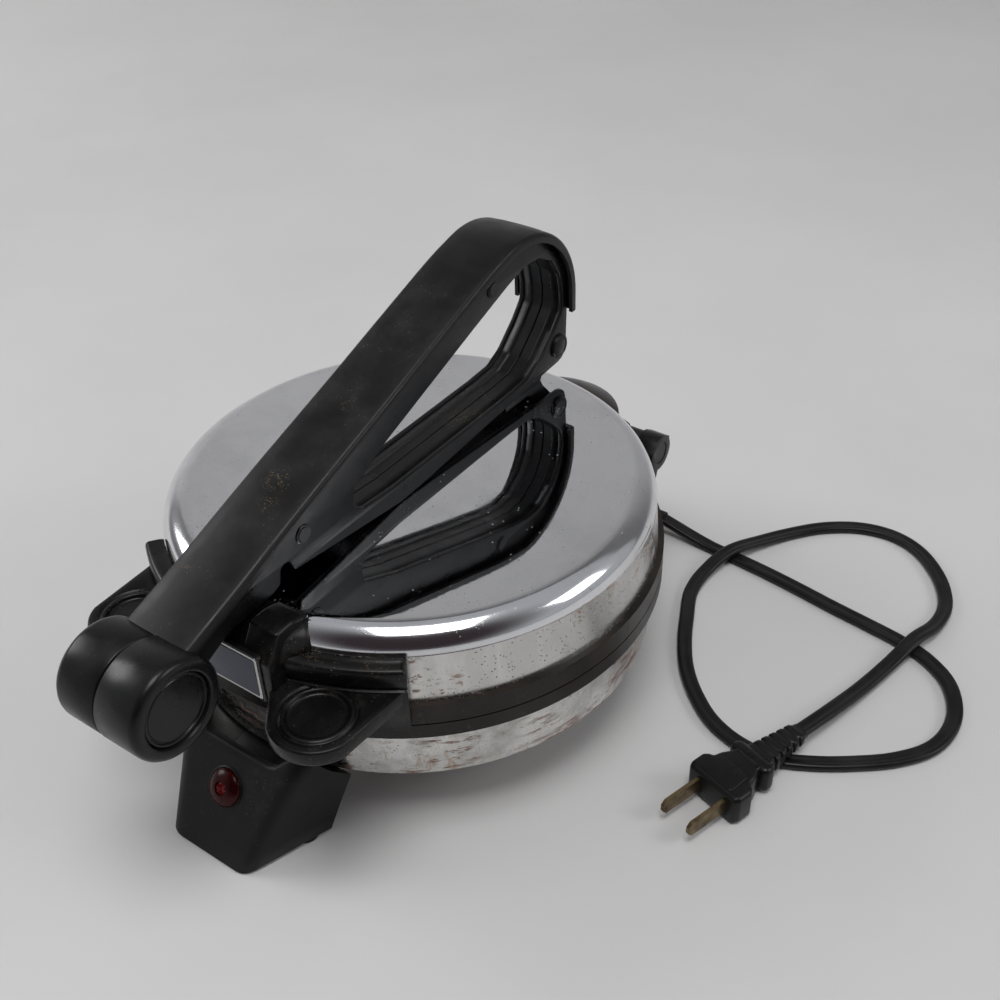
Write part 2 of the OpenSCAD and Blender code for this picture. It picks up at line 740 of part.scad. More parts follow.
module rear_foot() {
    recess = 1.8;
    color("#17171a")
    difference() {
        union() {
            difference() {
                translate([0, 0, pad_t])
                linear_extrude(rear_foot_z - pad_t)
                rear_foot_plan(0);
                translate([0, 0, pad_t - 1])
                linear_extrude(rear_foot_z - foot_wall - pad_t + 1)
                rear_foot_plan(foot_wall);
            }
            // Seats that carry the pads
            for (p = rear_pads)
                translate([p[0], p[1], pad_t])
                cylinder(h = rear_foot_z - pad_t - 1, r = pad_r + 1);
            intersection() {
                sleeve_seat(0);
                linear_extrude(40)
                rear_foot_plan(0.5);
            }
            // Arms that carry the outer knuckles
            for (s = [-1, 1])
                translate([s * (arm_x + knuckle_w / 2), 0, 0]) {
                    bar_x(-knuckle_w / 2, knuckle_w / 2, knuckle_r, hinge_y, hinge_z);
                    along_x(-knuckle_w / 2, knuckle_w / 2)
                    polygon([[arm_front_y, pad_t], [arm_rear_y, pad_t], [arm_rear_y, hinge_z - 17],
                        [hinge_y - 2, hinge_z - knuckle_r + 0.4], [hinge_y, hinge_z],
                        [hinge_y + knuckle_r - 1, hinge_z], [hinge_y + knuckle_r - 1, hinge_z + 5],
                        [hinge_y + 1, hinge_z + knuckle_r - 0.1], [hinge_y - 7, hinge_z + 1],
                        [arm_front_y + 1.5, hinge_z - 9], [arm_front_y, hinge_z - 15]]);
                }
        }
        for (s = [-1, 1]) {
            translate([s * (arm_x + knuckle_w / 2), 0, 0])
            bar_x(-knuckle_w, knuckle_w, hinge_pin_d / 2 + fit, hinge_y, hinge_z);
            translate([s * (arm_out_x - recess / 2 + 1), 0, 0])
            bar_x(-recess / 2 - 1, recess / 2 + 1, pin_head_r + seat, hinge_y, hinge_z);
        }
        // Outlet for the cord's sleeve
        bar_x(5, rear_foot_hw + 20, sleeve_r - 1 + fit, sleeve_y, sleeve_z);
        bar_x(rear_foot_hw + 3, rear_foot_hw + 30, sleeve_r + fit, sleeve_y, sleeve_z);
        foot_screw_holes();
        lead_holes();
        translate([0, hinge_y + sleeve_up_y, rear_foot_z - foot_wall - 1])
        cylinder(h = foot_wall + 2, r = 3 + fit);
    }
}

module rear_foot_cover() {
    // Thin sheet that closes the rear foot from below
    color("silver")
    difference() {
        translate([0, 0, pad_t])
        linear_extrude(foot_cover_t)
        rear_foot_plan(foot_wall + fit);
        for (p = rear_pads)
            translate([p[0], p[1], 0])
            cylinder(h = 10, r = pad_r + 1 + fit);
        for (s = [-1, 1])
            translate([s * (arm_x + knuckle_w / 2), 0, 0])
            along_x(-knuckle_w / 2 - fit, knuckle_w / 2 + fit)
            polygon([[arm_front_y - fit, 0], [arm_rear_y + fit, 0], [arm_rear_y + fit, 10],
                [arm_front_y - fit, 10]]);
    }
}

module hinge_pins() {
    color("silver")
    for (s = [-1, 1])
        mirror([s == 1 ? 0 : 1, 0, 0]) {
            bar_x(knuckle_x + 1, arm_out_x - 1, hinge_pin_d / 2, hinge_y, hinge_z);
            bar_x(arm_out_x - 1.7, arm_out_x - 1.7 + pin_head_h, pin_head_r, hinge_y, hinge_z);
        }
}

module terminal_block() {
    // Screw terminals that join the cord, the elements and the lamp
    block_l = 30;
    block_w = 14;
    block_h = 10;
    color("ivory")
    translate([-block_l / 2, block_front_y, rear_foot_z - foot_wall - block_h])
    difference() {
        cube([block_l, block_w, block_h]);
        for (i = [0:2])
            translate([5 + 10 * i, block_w / 2, -1])
            cylinder(h = 7, r = 2.5);
    }
}

module cord_sleeve() {
    // Tapered rubber sleeve that guides the cord out of the rear foot
    color("#17171a")
    translate([0, sleeve_y, sleeve_z])
    rotate([0, 90, 0])
    rotate_extrude()
    polygon([[0, rear_foot_hw - 6], [sleeve_r - 0.2, rear_foot_hw - 6],
        [sleeve_r - 0.2, rear_foot_hw - 3 - fit], [sleeve_r - 1, rear_foot_hw - 3 - fit],
        [sleeve_r - 1, rear_foot_hw + 3 + fit], [sleeve_r, rear_foot_hw + 3 + fit],
        [cord_w / 2 + 0.3, rear_foot_hw + sleeve_l + 2], [0, rear_foot_hw + sleeve_l + 2]]);
}

module power_cord() {
    n = len(cord_points);
    m = cord_sides;
    color("#101012")
    polyhedron(
        points = [for (i = [0:n - 1]) each cord_ring(i)],
        faces = concat(
            [for (i = [0:n - 2]) for (k = [0:m - 1])
                [i * m + k, i * m + (k + 1) % m, (i + 1) * m + k]],
            [for (i = [0:n - 2]) for (k = [0:m - 1])
                [i * m + (k + 1) % m, (i + 1) * m + (k + 1) % m, (i + 1) * m + k]],
            [for (k = [1:m - 2]) [0, k + 1, k]],
            [for (k = [1:m - 2]) [(n - 1) * m, (n - 1) * m + k, (n - 1) * m + k + 1]]));
}

module at_plug() {
    translate([plug_pos[0], plug_pos[1], plug_z])
    rotate([0, 0, plug_angle])
    children();
}

module plug_body() {
    // Along +X from the blades' roots: body with two side lobes, collar, tapered relief
    half_t = plug_t / 2;
    body_hw = 8.6;
    lobe_hw = 12.2;
    collar_hw = 9.2;
    color("#17171a")
    at_plug()
    difference() {
        union() {
            translate([0, 0, -half_t])
            linear_extrude(plug_t)
            polygon([[0, -body_hw], [1.5, -lobe_hw + 1], [4, -lobe_hw], [8, -lobe_hw],
                [10, -lobe_hw + 1.5], [10.5, -body_hw - 0.6], [14, -body_hw], [18, -6.8],
                [plug_body_l, -5.8], [plug_body_l, 5.8], [18, 6.8], [14, body_hw],
                [10.5, body_hw + 0.6], [10, lobe_hw - 1.5], [8, lobe_hw], [4, lobe_hw],
                [1.5, lobe_hw - 1], [0, body_hw]]);
            translate([plug_body_l, -collar_hw, -half_t + 1])
            cube([plug_collar_l, 2 * collar_hw, plug_t - 2]);
            translate([plug_body_l + plug_collar_l, 0, 0])
            rotate([90, 0, 90])
            linear_extrude(plug_relief_l - 1, scale = [0.75, 0.62], slices = 1, $fn = 8)
            polygon([[-5.6, -1.6], [-3.8, -3.4], [3.8, -3.4], [5.6, -1.6], [5.6, 1.6], [3.8, 3.4],
                [-3.8, 3.4], [-5.6, 1.6]]);
        }
        for (s = [-1, 1])
            translate([-1, s * blade_gap / 2 - blade_t / 2 - fit, -blade_w / 2 - fit])
            cube([10, blade_t + 2 * fit, blade_w + 2 * fit]);
    }
}

module plug_blades() {
    color("#8a7440")
    at_plug()
    for (s = [-1, 1])
        translate([0, s * blade_gap / 2 + blade_t / 2, 0])
        rotate([90, 0, 0])
        linear_extrude(blade_t)
        polygon([[8, -blade_w / 2], [8, blade_w / 2], [-blade_l + 1.6, blade_w / 2],
            [-blade_l, blade_w / 2 - 1.8], [-blade_l, -blade_w / 2 + 1.8],
            [-blade_l + 1.6, -blade_w / 2]]);
}

// ---- Lid ----

module lid_shell() {
    inner = reversed([for (p = lid_outline(-sheet_t)) [p[0], p[1] == z_skirt ? z_skirt : p[1]]]);
    color("gainsboro")
    difference() {
        rotate_extrude()
        polygon(concat(lid_outline(0), [[0, z_top - sheet_t]], [for (i = [1:len(inner) - 1]) inner[i]]));
        for (y = lug_screw_y)
            translate([0, y, z_top - sheet_t - 1])
            cylinder(h = sheet_t + 2, d = lug_screw_d + 2 * seat);
        lid_lead_holes();
    }
}

module upper_plate() {
    color("#2b2320")
    difference() {
        union() {
            plate_disc(z_up_face, z_up_back, z_up_rim, z_skirt, skirt_r - sheet_t - run,
                z_skirt + spigot_h);
            translate([0, 0, z_up_back - 1])
            cylinder(h = stud_l + 1, d = stud_d);
        }
        for (a = [-90 - front_screw_angle, -90 + front_screw_angle, 90 - rear_screw_angle,
                90 + rear_screw_angle])
            rotate([0, 0, a])
            translate([wall_out_r - plate_screw_l - 2.6, 0, plate_screw_z])
            rotate([0, 90, 0])
            cylinder(h = 20, d = plate_screw_d + 2 * fit);
    }
}

module upper_element() {
    color("dimgray")
    element_ring(z_up_back + fit + element_d / 2);
}

module upper_clamp_plate() {
    color("silver")
    clamp_plate(z_up_back + clamp_gap);
}

module upper_clamp_nut() {
    color("silver")
    clamp_nut(z_up_back + clamp_gap + clamp_t);
}

// Wall round the skirt and the upper rim over a half angle, up to a height. It reaches inwards
// past both, and wall_space then gives it its inner face.
module hugging_wall(middle_angle, half_angle, top_z) {
    rotate([0, 0, middle_angle - half_angle])
    rotate_extrude(angle = 2 * half_angle)
    polygon([[crease_r - 2, wall_bottom_z], [wall_out_r, wall_bottom_z], [wall_out_r, top_z - 1.5],
        [wall_out_r - 1.5, top_z], [crease_r - 2, top_z]]);
}

// Space that the lid and the upper rim take in the brackets
module wall_space() {
    lid_space(run);
    translate([0, 0, z_up_rim - 1])
    cylinder(h = z_skirt + run - z_up_rim + 1, r = wall_in_r);
}

module screw_heads(angles) {
    for (a = angles)
        rotate([0, 0, a])
        translate([wall_in_r - 1, 0, plate_screw_z])
        rotate([0, 90, 0]) {
            cylinder(h = 20, d = plate_screw_d + 2 * seat);
            translate([0, 0, 1 + bracket_t - 2.2])
            cylinder(h = 20, r = plate_screw_head_r + seat);
        }
}

module ear() {
    corner_y = -sqrt(wall_out_r * wall_out_r - pow(ear_x + 15, 2)) + 1;
    translate([0, 0, ear_top_z - ear_t])
    difference() {
        union() {
            translate([ear_x, ear_y, 0])
            cylinder(h = ear_t, r = ear_r);
            linear_extrude(ear_t)
            polygon([[ear_x + ear_r * cos(-20), ear_y + ear_r * sin(-20)], [ear_x + 15, corner_y],
                [ear_x, ear_y + 24], [block_hw - 2, ear_y + 10], [block_hw - 2, block_y + 1],
                [ear_x + ear_r * cos(240), ear_y + ear_r * sin(240)]]);
        }
        translate([ear_x, ear_y, ear_t - ear_recess_d])
        cylinder(h = ear_recess_d + 1, r = ear_recess_r);
    }
}

module front_bracket() {
    color("#17171a")
    difference() {
        union() {
            hugging_wall(-90, front_bracket_angle, bracket_top_z);
            for (s = [0, 1])
                mirror([s, 0, 0])
                ear();
            along_x(-block_hw, block_hw)
            polygon([[block_y, block_bottom_z], [block_y, cheek_z - 9.8], [block_y + 4.1, cheek_z - 3.2],
                [block_y + 5.5, cheek_z - 0.4], [block_y + 9, cheek_z], [-flat_r - 5.5, cheek_z],
                [-flat_r - 0.4, cheek_z - 1.3], [-flat_r + 2.2, z_top - 0.2], [-flat_r + 2.2, z_top - 12],
                [-crease_r - 1, block_bottom_z]]);
            // Fillet from the block's sides to the wall's top and the lid's shoulder
            translate([0, -flat_r + 0.2, 0])
            rotate([90, 0, 0])
            linear_extrude(wall_out_r - flat_r - 5)
            polygon([[-block_hw - 4.5, z_crease - 3], [block_hw + 4.5, z_crease - 3],
                [block_hw + 4.5, z_crease + 2], [block_hw + 3, z_crease + 5.7],
                [block_hw - 1.5, z_top + 0.9], [-block_hw + 1.5, z_top + 0.9],
                [-block_hw - 3, z_crease + 5.7], [-block_hw - 4.5, z_crease + 2]]);
        }
        // Slot that guides the lever's front end
        translate([-lever_hw - 1, block_y - 1, z_top + 1.6])
        cube([2 * lever_hw + 2, plate_r, 20]);
        wall_space();
        screw_heads([-90 - front_screw_angle, -90 + front_screw_angle]);
    }
}

module name_plate() {
    // Blank plate on the middle block
    color("#30353f")
    translate([-badge_w / 2, block_y - badge_t - fit, badge_z - badge_h / 2])
    cube([badge_w, badge_t, badge_h]);
}

module rear_bracket() {
    color("#17171a")
    difference() {
        union() {
            hugging_wall(90, rear_wall_angle, rear_wall_z);
            for (s = [0, 1])
                mirror([s, 0, 0]) {
                    bar_x(knuckle_x, knuckle_x + knuckle_w, hub_r, hinge_y, hinge_z);
                    along_x(knuckle_x, knuckle_x + knuckle_w)
                    polygon([[arm_front_y, wall_bottom_z + 0.5], [hinge_y - 4, wall_bottom_z + 0.5],
                        [hinge_y, hinge_z], [hinge_y, hinge_z + hub_r], [arm_front_y, hinge_z + hub_r]]);
                }
        }
        for (s = [-1, 1])
            translate([s * (knuckle_x + knuckle_w / 2), 0, 0])
            bar_x(-knuckle_w, knuckle_w, hinge_pin_d / 2 + 0.1, hinge_y, hinge_z);
        wall_space();
        screw_heads([90 - rear_screw_angle, 90 + rear_screw_angle]);
        lid_lead_holes();
    }
}

// Dome of the wiring cover, moved in by g, from a height up
function dome_z(r) = dome_edge_z + dome_rise * (1 - pow(r / wire_cover_hw, 1.6));
module wire_cover_dome(g, z0) {
    edge_r = wire_cover_hw - g;
    translate([0, wire_cover_y, 0])
    rotate_extrude()
    polygon(concat([[0, z0], [edge_r, z0], [edge_r, dome_edge_z - 1 - g]],
        [for (i = [0:7]) let (r = (edge_r - 0.5) * (1 - i / 7)) [r, dome_z(r) - 1.2 * g]]));
}

module wiring_cover() {
    // Domed cover over the leads of the upper element, with two ribs inside
    wall = 1.6;
    color("#231b18")
    difference() {
        wire_cover_dome(0, wire_cover_z);
        difference() {
            wire_cover_dome(wall, wire_cover_z - 1);
            for (s = [-1, 1])
                translate([s * (lid_lead_x + 4) - wall / 2, 0, 0])
                cube([wall, 2 * plate_r, z_top]);
        }
        cylinder(h = z_top, r = wall_out_r + seat);
    }
}

module lid_leads() {
    // From both ends of the upper element through the skirt into the wiring cover
    end_x = (element_r + element_tail) * cos(75);
    end_y = (element_r + element_tail) * sin(75);
    end_z = z_up_back + clamp_gap / 2;
    color("lightgray")
    for (s = [-1, 1])
        lead([[s * (end_x + 0.5), end_y + 0.6, end_z], [s * (end_x - 3), end_y + 8, end_z + 5],
            [s * lid_lead_x, plate_r - 10, z_skirt + lid_lead_z],
            [s * lid_lead_x, wall_out_r + 2, z_skirt + lid_lead_z],
            [s * lid_lead_x, wall_out_r + 5, z_skirt + 1]]);
}

// Holes for the leads in the skirt and the rear wall
module lid_lead_holes() {
    for (s = [-1, 1])
        translate([s * lid_lead_x, plate_r - 10, z_skirt + lid_lead_z])
        rotate([-90, 0, 0])
        cylinder(h = 20, r = lead_r + 0.4);
}

module plate_screws() {
    // Radial screws that hold both brackets to the upper plate
    color("silver")
    for (a = [-90 - front_screw_angle, -90 + front_screw_angle, 90 - rear_screw_angle,
            90 + rear_screw_angle])
        rotate([0, 0, a])
        translate([wall_out_r - 2.1, 0, plate_screw_z])
        rotate([0, 90, 0])
        screw(plate_screw_d, plate_screw_head_r, 2, plate_screw_l);
}

module lever_lug() {
    color("#17171a")
    difference() {
        union() {
            along_x(-lug_hw, lug_hw)
            polygon([[lug_front_y, z_top + fit], [lug_rear_y, z_top + fit],
                [lug_rear_y + 1.5, z_top + 3], [pivot_y + lug_hub_r * cos(-35), pivot_z + lug_hub_r * sin(-35)],
                [pivot_y, pivot_z], [pivot_y + lug_hub_r * cos(150), pivot_z + lug_hub_r * sin(150)],
                [lug_rear_y - 5, z_top + 6], [lug_rear_y - 8.5, z_top + lug_foot_h + 0.6],
                [lug_rear_y - 9.5, z_top + lug_foot_h], [lug_front_y, z_top + lug_foot_h]]);
            bar_x(-(lever_hw - lever_wall - run), lever_hw - lever_wall - run, lug_hub_r, pivot_y, pivot_z);
        }
        bar_x(-20, 20, pivot_d / 2 + 0.08, pivot_y, pivot_z);
        for (y = lug_screw_y)
            translate([0, y, z_top - 1])
            cylinder(h = 8, d = lug_screw_d + 2 * fit);
    }
}

module lug_screws() {
    // Screws through the lug's foot and the lid, with their nuts inside
    color("silver")
    for (y = lug_screw_y)
        translate([0, y, z_top + lug_foot_h + fit]) {
            screw(lug_screw_d, 2.7, 1.6, lug_foot_h + sheet_t + 4);
            translate([0, 0, -lug_foot_h - sheet_t - 3])
            cylinder(h = 2.4, r = 3.2, $fn = 6);
        }
}

// ---- Lever ----

lever_top = offset_path(cover_top, -(cover_t + fit));

module grip_barrel() {
    // Half of the round grip, along +X from its parting plane
    cap_x = grip_hl - cap_inset - cap_t;
    translate([0, grip_y, grip_z])
    rotate([0, 90, 0])
    rotate_extrude()
    polygon([[grip_r - grip_wall, fit], [grip_r, fit], [grip_r, grip_hl - 2],
        [grip_r - 0.6, grip_hl - 0.6], [grip_r - 2, grip_hl], [grip_cap_r + seat, grip_hl],
        [grip_cap_r + seat, cap_x - fit], [grip_cap_r - 1.5, cap_x - fit],
        [grip_cap_r - 1.5, cap_x - 2], [grip_r - grip_wall, cap_x - 2]]);
}

module lever_half() {
    // Right half of the lever: side wall, half of the inner strip, half of the grip
    wall_in = lever_hw - lever_wall;
    difference() {
        union() {
            // Side wall
            difference() {
                along_x(wall_in, lever_hw)
                polygon(concat(lever_top, plate_under));
                along_x(wall_in - 1, lever_hw + 1)
                polygon(opening);
            }
            // Inner strip round the opening
            difference() {
                intersection() {
                    along_x(fit, lever_hw)
                    polygon(offset_loop(opening, lip_h + lever_wall));
                    along_x(0, lever_hw)
                    polygon(concat(lever_top, plate_under));
                }
                along_x(-1, wall_in)
                polygon(offset_loop(opening, lip_h));
                along_x(-1, lever_hw + 1)
                polygon(opening);
            }
            // Screw bosses
            for (b = boss_points)
                bar_x(fit, wall_in + 1, boss_r, b[0], b[1]);
            // Half of the grip, with a web and a boss for its screw
            grip_barrel();
            bar_x(fit, wall_in, boss_r + 1, grip_y, grip_z);
            bar_x(wall_in - 2, wall_in, grip_r - 1, grip_y, grip_z);
        }
        bar_x(-1, lever_hw + 1, pivot_d / 2 + fit, pivot_y, pivot_z);
        for (b = boss_points)
            bar_x(-1, lever_hw + 1, lever_screw_d / 2 + fit, b[0], b[1]);
        bar_x(-1, lever_hw + 1, lever_screw_d / 2 + fit, grip_y, grip_z);
        along_x(wall_in - 1, lever_hw + 1)
        translate([notch_y, up(5.6)])
        circle(r = notch_r);
    }
}

module lever_half_right() {
    color("#19191c")
    lever_half();
}

module lever_half_left() {
    color("#19191c")
    mirror([1, 0, 0])
    lever_half();
}

module lever_cover() {
    // Channel-shaped cover over the beam and the rear bow
    lip_line = offset_path(cover_top, -cover_lip);
    under_line = offset_path(cover_top, -cover_t);
    color("#1b1b1d")
    difference() {
        union() {
            along_x(-cover_hw, cover_hw)
            polygon(concat(cover_top, reversed(under_line)));
            for (s = [-1, 1])
                translate([s * (cover_hw - 1.1), 0, 0])
                along_x(-1.1, 1.1)
                polygon(concat(cover_top, reversed(lip_line)));
        }
        bar_x(-cover_hw - 1, cover_hw + 1, grip_r + seat, grip_y, grip_z);
    }
}

module lever_screws() {
    // Screws along X that join the two halves
    color("silver") {
        for (b = boss_points) {
            bar_x(-8, lever_hw, lever_screw_d / 2, b[0], b[1]);
            bar_x(lever_hw + fit, lever_hw + fit + 0.7, 2.6, b[0], b[1]);
            bar_x(lever_hw - 1, lever_hw + fit + 0.3, lever_screw_d / 2, b[0], b[1]);
        }
        bar_x(-8, lever_hw + 1, lever_screw_d / 2, grip_y, grip_z);
        bar_x(lever_hw - lever_wall + fit, lever_hw - lever_wall + 2, 2.6, grip_y, grip_z);
    }
}

module grip_cap() {
    cap_x = grip_hl - cap_inset - cap_t;
    translate([0, grip_y, grip_z])
    rotate([0, 90, 0])
    rotate_extrude()
    polygon([[0, cap_x], [grip_cap_r, cap_x], [grip_cap_r, cap_x + cap_t], [grip_cap_r - 1, cap_x + cap_t],
        [grip_cap_r - 1.4, cap_x + cap_t - 0.5], [grip_cap_r - 1.8, cap_x + cap_t],
        [0, cap_x + cap_t]]);
}

module grip_cap_right() {
    color("#222225")
    grip_cap();
}

module grip_cap_left() {
    color("#222225")
    mirror([1, 0, 0])
    grip_cap();
}

module pivot_pin() {
    // Headed pin on which the lever turns in the lug
    color("#2c2c2e") {
        bar_x(-lever_hw - 1, lever_hw + 1, pivot_d / 2, pivot_y, pivot_z);
        for (s = [0, 1])
            mirror([s, 0, 0])
            bar_x(lever_hw + fit, lever_hw + fit + pivot_head_h, pivot_head_r, pivot_y, pivot_z);
    }
}

// Middle of the cooker's length, from the grip to the rear foot
middle_y = (grip_y - grip_r + rear_foot_y) / 2;

translate([0, -middle_y, 0]) {
    lower_pan();
    lower_plate();
    lower_element();
    lower_clamp_plate();
    lower_clamp_nut();
    thermostat();
    thermal_fuse();
    foot_screws();
    base_leads();
    lead_sleeve();
    front_foot();
    indicator_lens();
    neon_lamp();
    rear_foot();
    rear_foot_cover();
    terminal_block();
    hinge_pins();
    foot_pads();
    cord_sleeve();
    power_cord();
    plug_body();
    plug_blades();
    lid_shell();
    upper_plate();
    upper_element();
    upper_clamp_plate();
    upper_clamp_nut();
    lid_leads();
    front_bracket();
    name_plate();
    rear_bracket();
    wiring_cover();
    plate_screws();
    lever_lug();
    lug_screws();
    lever_half_right();
    lever_half_left();
    lever_cover();
    lever_screws();
    grip_cap_right();
    grip_cap_left();
    pivot_pin();
}
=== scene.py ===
"""Looks of an electric roti maker: pieces, materials, floor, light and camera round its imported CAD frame."""
import json
import math

import bmesh
import bpy
from mathutils import Matrix, Vector


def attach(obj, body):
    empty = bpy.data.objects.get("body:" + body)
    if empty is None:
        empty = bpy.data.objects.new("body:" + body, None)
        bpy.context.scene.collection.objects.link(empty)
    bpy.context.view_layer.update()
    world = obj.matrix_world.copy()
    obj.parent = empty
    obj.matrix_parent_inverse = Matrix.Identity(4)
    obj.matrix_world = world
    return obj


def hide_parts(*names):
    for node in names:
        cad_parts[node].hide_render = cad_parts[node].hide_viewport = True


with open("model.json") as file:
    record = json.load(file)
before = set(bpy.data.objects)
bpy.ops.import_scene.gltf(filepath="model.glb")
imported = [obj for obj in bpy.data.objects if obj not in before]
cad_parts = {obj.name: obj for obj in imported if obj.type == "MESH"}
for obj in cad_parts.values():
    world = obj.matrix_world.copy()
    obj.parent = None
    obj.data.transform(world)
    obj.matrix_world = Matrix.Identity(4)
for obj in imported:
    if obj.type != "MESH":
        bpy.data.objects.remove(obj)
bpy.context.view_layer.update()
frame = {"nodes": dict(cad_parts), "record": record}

# All numbers below are millimetres about the middle of the round housing, as in part.scad.
SHIFT_Y = 10.25
# Places in the lever's plane, as (y, height)
PIVOT_AT = (85.1, 107.2)
GRIP_AT = (-133.9, 90.4)
# Heights in metres on the lid: where the satin skirt ends, and where the shoulder meets the flat top
SKIRT_END = (0.0840, 0.0846)
SHOULDER_END = (0.0916, 0.0924)


def to_m(p):
    return (p[0] / 1000, (p[1] + SHIFT_Y) / 1000, p[2] / 1000)


# ---------------------------------------------------------------- materials

class Nodes:
    """A short way to write a node material."""

    def __init__(self, name):
        self.mat = bpy.data.materials.new(name)
        self.mat.use_nodes = True
        self.tree = self.mat.node_tree
        self.tree.nodes.clear()
        self.out = self.tree.nodes.new("ShaderNodeOutputMaterial")
        self.bsdf = self.tree.nodes.new("ShaderNodeBsdfPrincipled")
        self.tree.links.new(self.bsdf.outputs[0], self.out.inputs[0])
        self.pos = self.new("ShaderNodeTexCoord").outputs["Object"]

    def new(self, kind, **props):
        n = self.tree.nodes.new(kind)
        for k, v in props.items():
            setattr(n, k, v)
        return n

    def put(self, socket, value):
        if isinstance(value, bpy.types.NodeSocket):
            self.tree.links.new(value, socket)
        elif isinstance(value, tuple) and len(value) == 3 and socket.type == "RGBA":
            socket.default_value = (*value, 1)
        else:
            socket.default_value = value

    def noise(self, scale, detail=4, rough=0.6, vector=None):
        n = self.new("ShaderNodeTexNoise")
        self.put(n.inputs["Vector"], vector or self.pos)
        n.inputs["Scale"].default_value = scale
        n.inputs["Detail"].default_value = detail
        n.inputs["Roughness"].default_value = rough
        return n.outputs["Fac"]

    def cells(self, scale):
        n = self.new("ShaderNodeTexVoronoi", feature="F1")
        self.put(n.inputs["Vector"], self.pos)
        n.inputs["Scale"].default_value = scale
        return n.outputs["Distance"]

    def ramp(self, value, low, high, a=0.0, b=1.0):
        """Runs softly from a to b while value runs from low to high."""
        n = self.new("ShaderNodeMapRange", clamp=True)
        n.interpolation_type = "SMOOTHSTEP"
        for k, v in enumerate((value, low, high, a, b)):
            self.put(n.inputs[k], v)
        return n.outputs[0]

    def math(self, op, a, b=0.0, c=0.0):
        n = self.new("ShaderNodeMath", operation=op)
        for k, v in enumerate((a, b, c)):
            self.put(n.inputs[k], v)
        return n.outputs[0]

    def mul(self, a, b):
        return self.math("MULTIPLY", a, b)

    def larger(self, a, b):
        return self.math("MAXIMUM", a, b)

    def add(self, a, b):
        return self.math("ADD", a, b)

    def mix(self, fac, a, b):
        n = self.new("ShaderNodeMix", data_type="RGBA")
        self.put(n.inputs[0], fac)
        self.put(n.inputs[6], a)
        self.put(n.inputs[7], b)
        return n.outputs[2]

    def stretched(self, sx, sy, sz):
        n = self.new("ShaderNodeMapping")
        self.put(n.inputs["Vector"], self.pos)
        n.inputs["Scale"].default_value = (sx, sy, sz)
        return n.outputs[0]

    def height(self):
        n = self.new("ShaderNodeSeparateXYZ")
        self.put(n.inputs[0], self.pos)
        return n.outputs[2]

    def spot(self, centre, size):
        """1 near a point of the object, 0 beyond size (millimetres)."""
        d = self.new("ShaderNodeVectorMath", operation="DISTANCE")
        self.put(d.inputs[0], self.pos)
        d.inputs[1].default_value = to_m(centre)
        return self.ramp(d.outputs["Value"], 0.0, size / 1000, 1.0, 0.0)

    def set(self, **sockets):
        for k, v in sockets.items():
            self.put(self.bsdf.inputs[k.replace("_", " ")], v)

    def bump(self, height, strength, distance=0.0003):
        n = self.new("ShaderNodeBump")
        n.inputs["Strength"].default_value = strength
        n.inputs["Distance"].default_value = distance
        self.put(n.inputs["Height"], height)
        self.put(self.bsdf.inputs["Normal"], n.outputs[0])


def plastic(name, colour, rough=0.34, grain=1.0, dust=0.3, spots=()):
    """Black moulded plastic: fine grain, fingermark sheen, pale dust specks, and brown smudges at given places."""
    m = Nodes(name)
    cloud = m.noise(38, 5, 0.65)
    grime = m.noise(170, 6, 0.75)
    fleck = m.ramp(m.cells(620), 0.0, 0.2, 1.0, 0.0)
    rare = m.ramp(m.noise(75, 4), 0.5, 0.62)
    dusty = m.mul(m.ramp(m.mul(cloud, grime), 0.27, 0.42), dust)
    base = m.mix(m.ramp(cloud, 0.35, 0.7), tuple(c * 0.75 for c in colour), tuple(c * 1.3 for c in colour))
    base = m.mix(m.mul(dusty, 0.14), base, (0.10, 0.09, 0.08))
    base = m.mix(m.mul(m.mul(fleck, rare), 0.6 * dust), base, (0.30, 0.26, 0.20))
    for centre, size in spots:
        crumbs = m.mul(m.ramp(m.cells(1500), 0.15, 0.42, 1.0, 0.0), m.ramp(m.noise(330, 5, 0.8), 0.44, 0.56))
        smudge = m.ramp(m.mul(m.spot(centre, size), crumbs), 0.06, 0.5)
        base = m.mix(m.mul(smudge, 0.5), base, (0.20, 0.145, 0.075))
    m.set(Base_Color=base, Roughness=m.ramp(m.noise(75, 5), 0.3, 0.75, rough - 0.07, rough + 0.10))
    m.bsdf.inputs["Specular IOR Level"].default_value = 0.26
    fine, coarse = m.noise(2600, 2), m.cells(1500)
    m.bump(m.add(m.mul(fine, 0.55 * grain), m.mul(coarse, 0.3 * grain)), 0.16, 0.00012)
    return m.mat


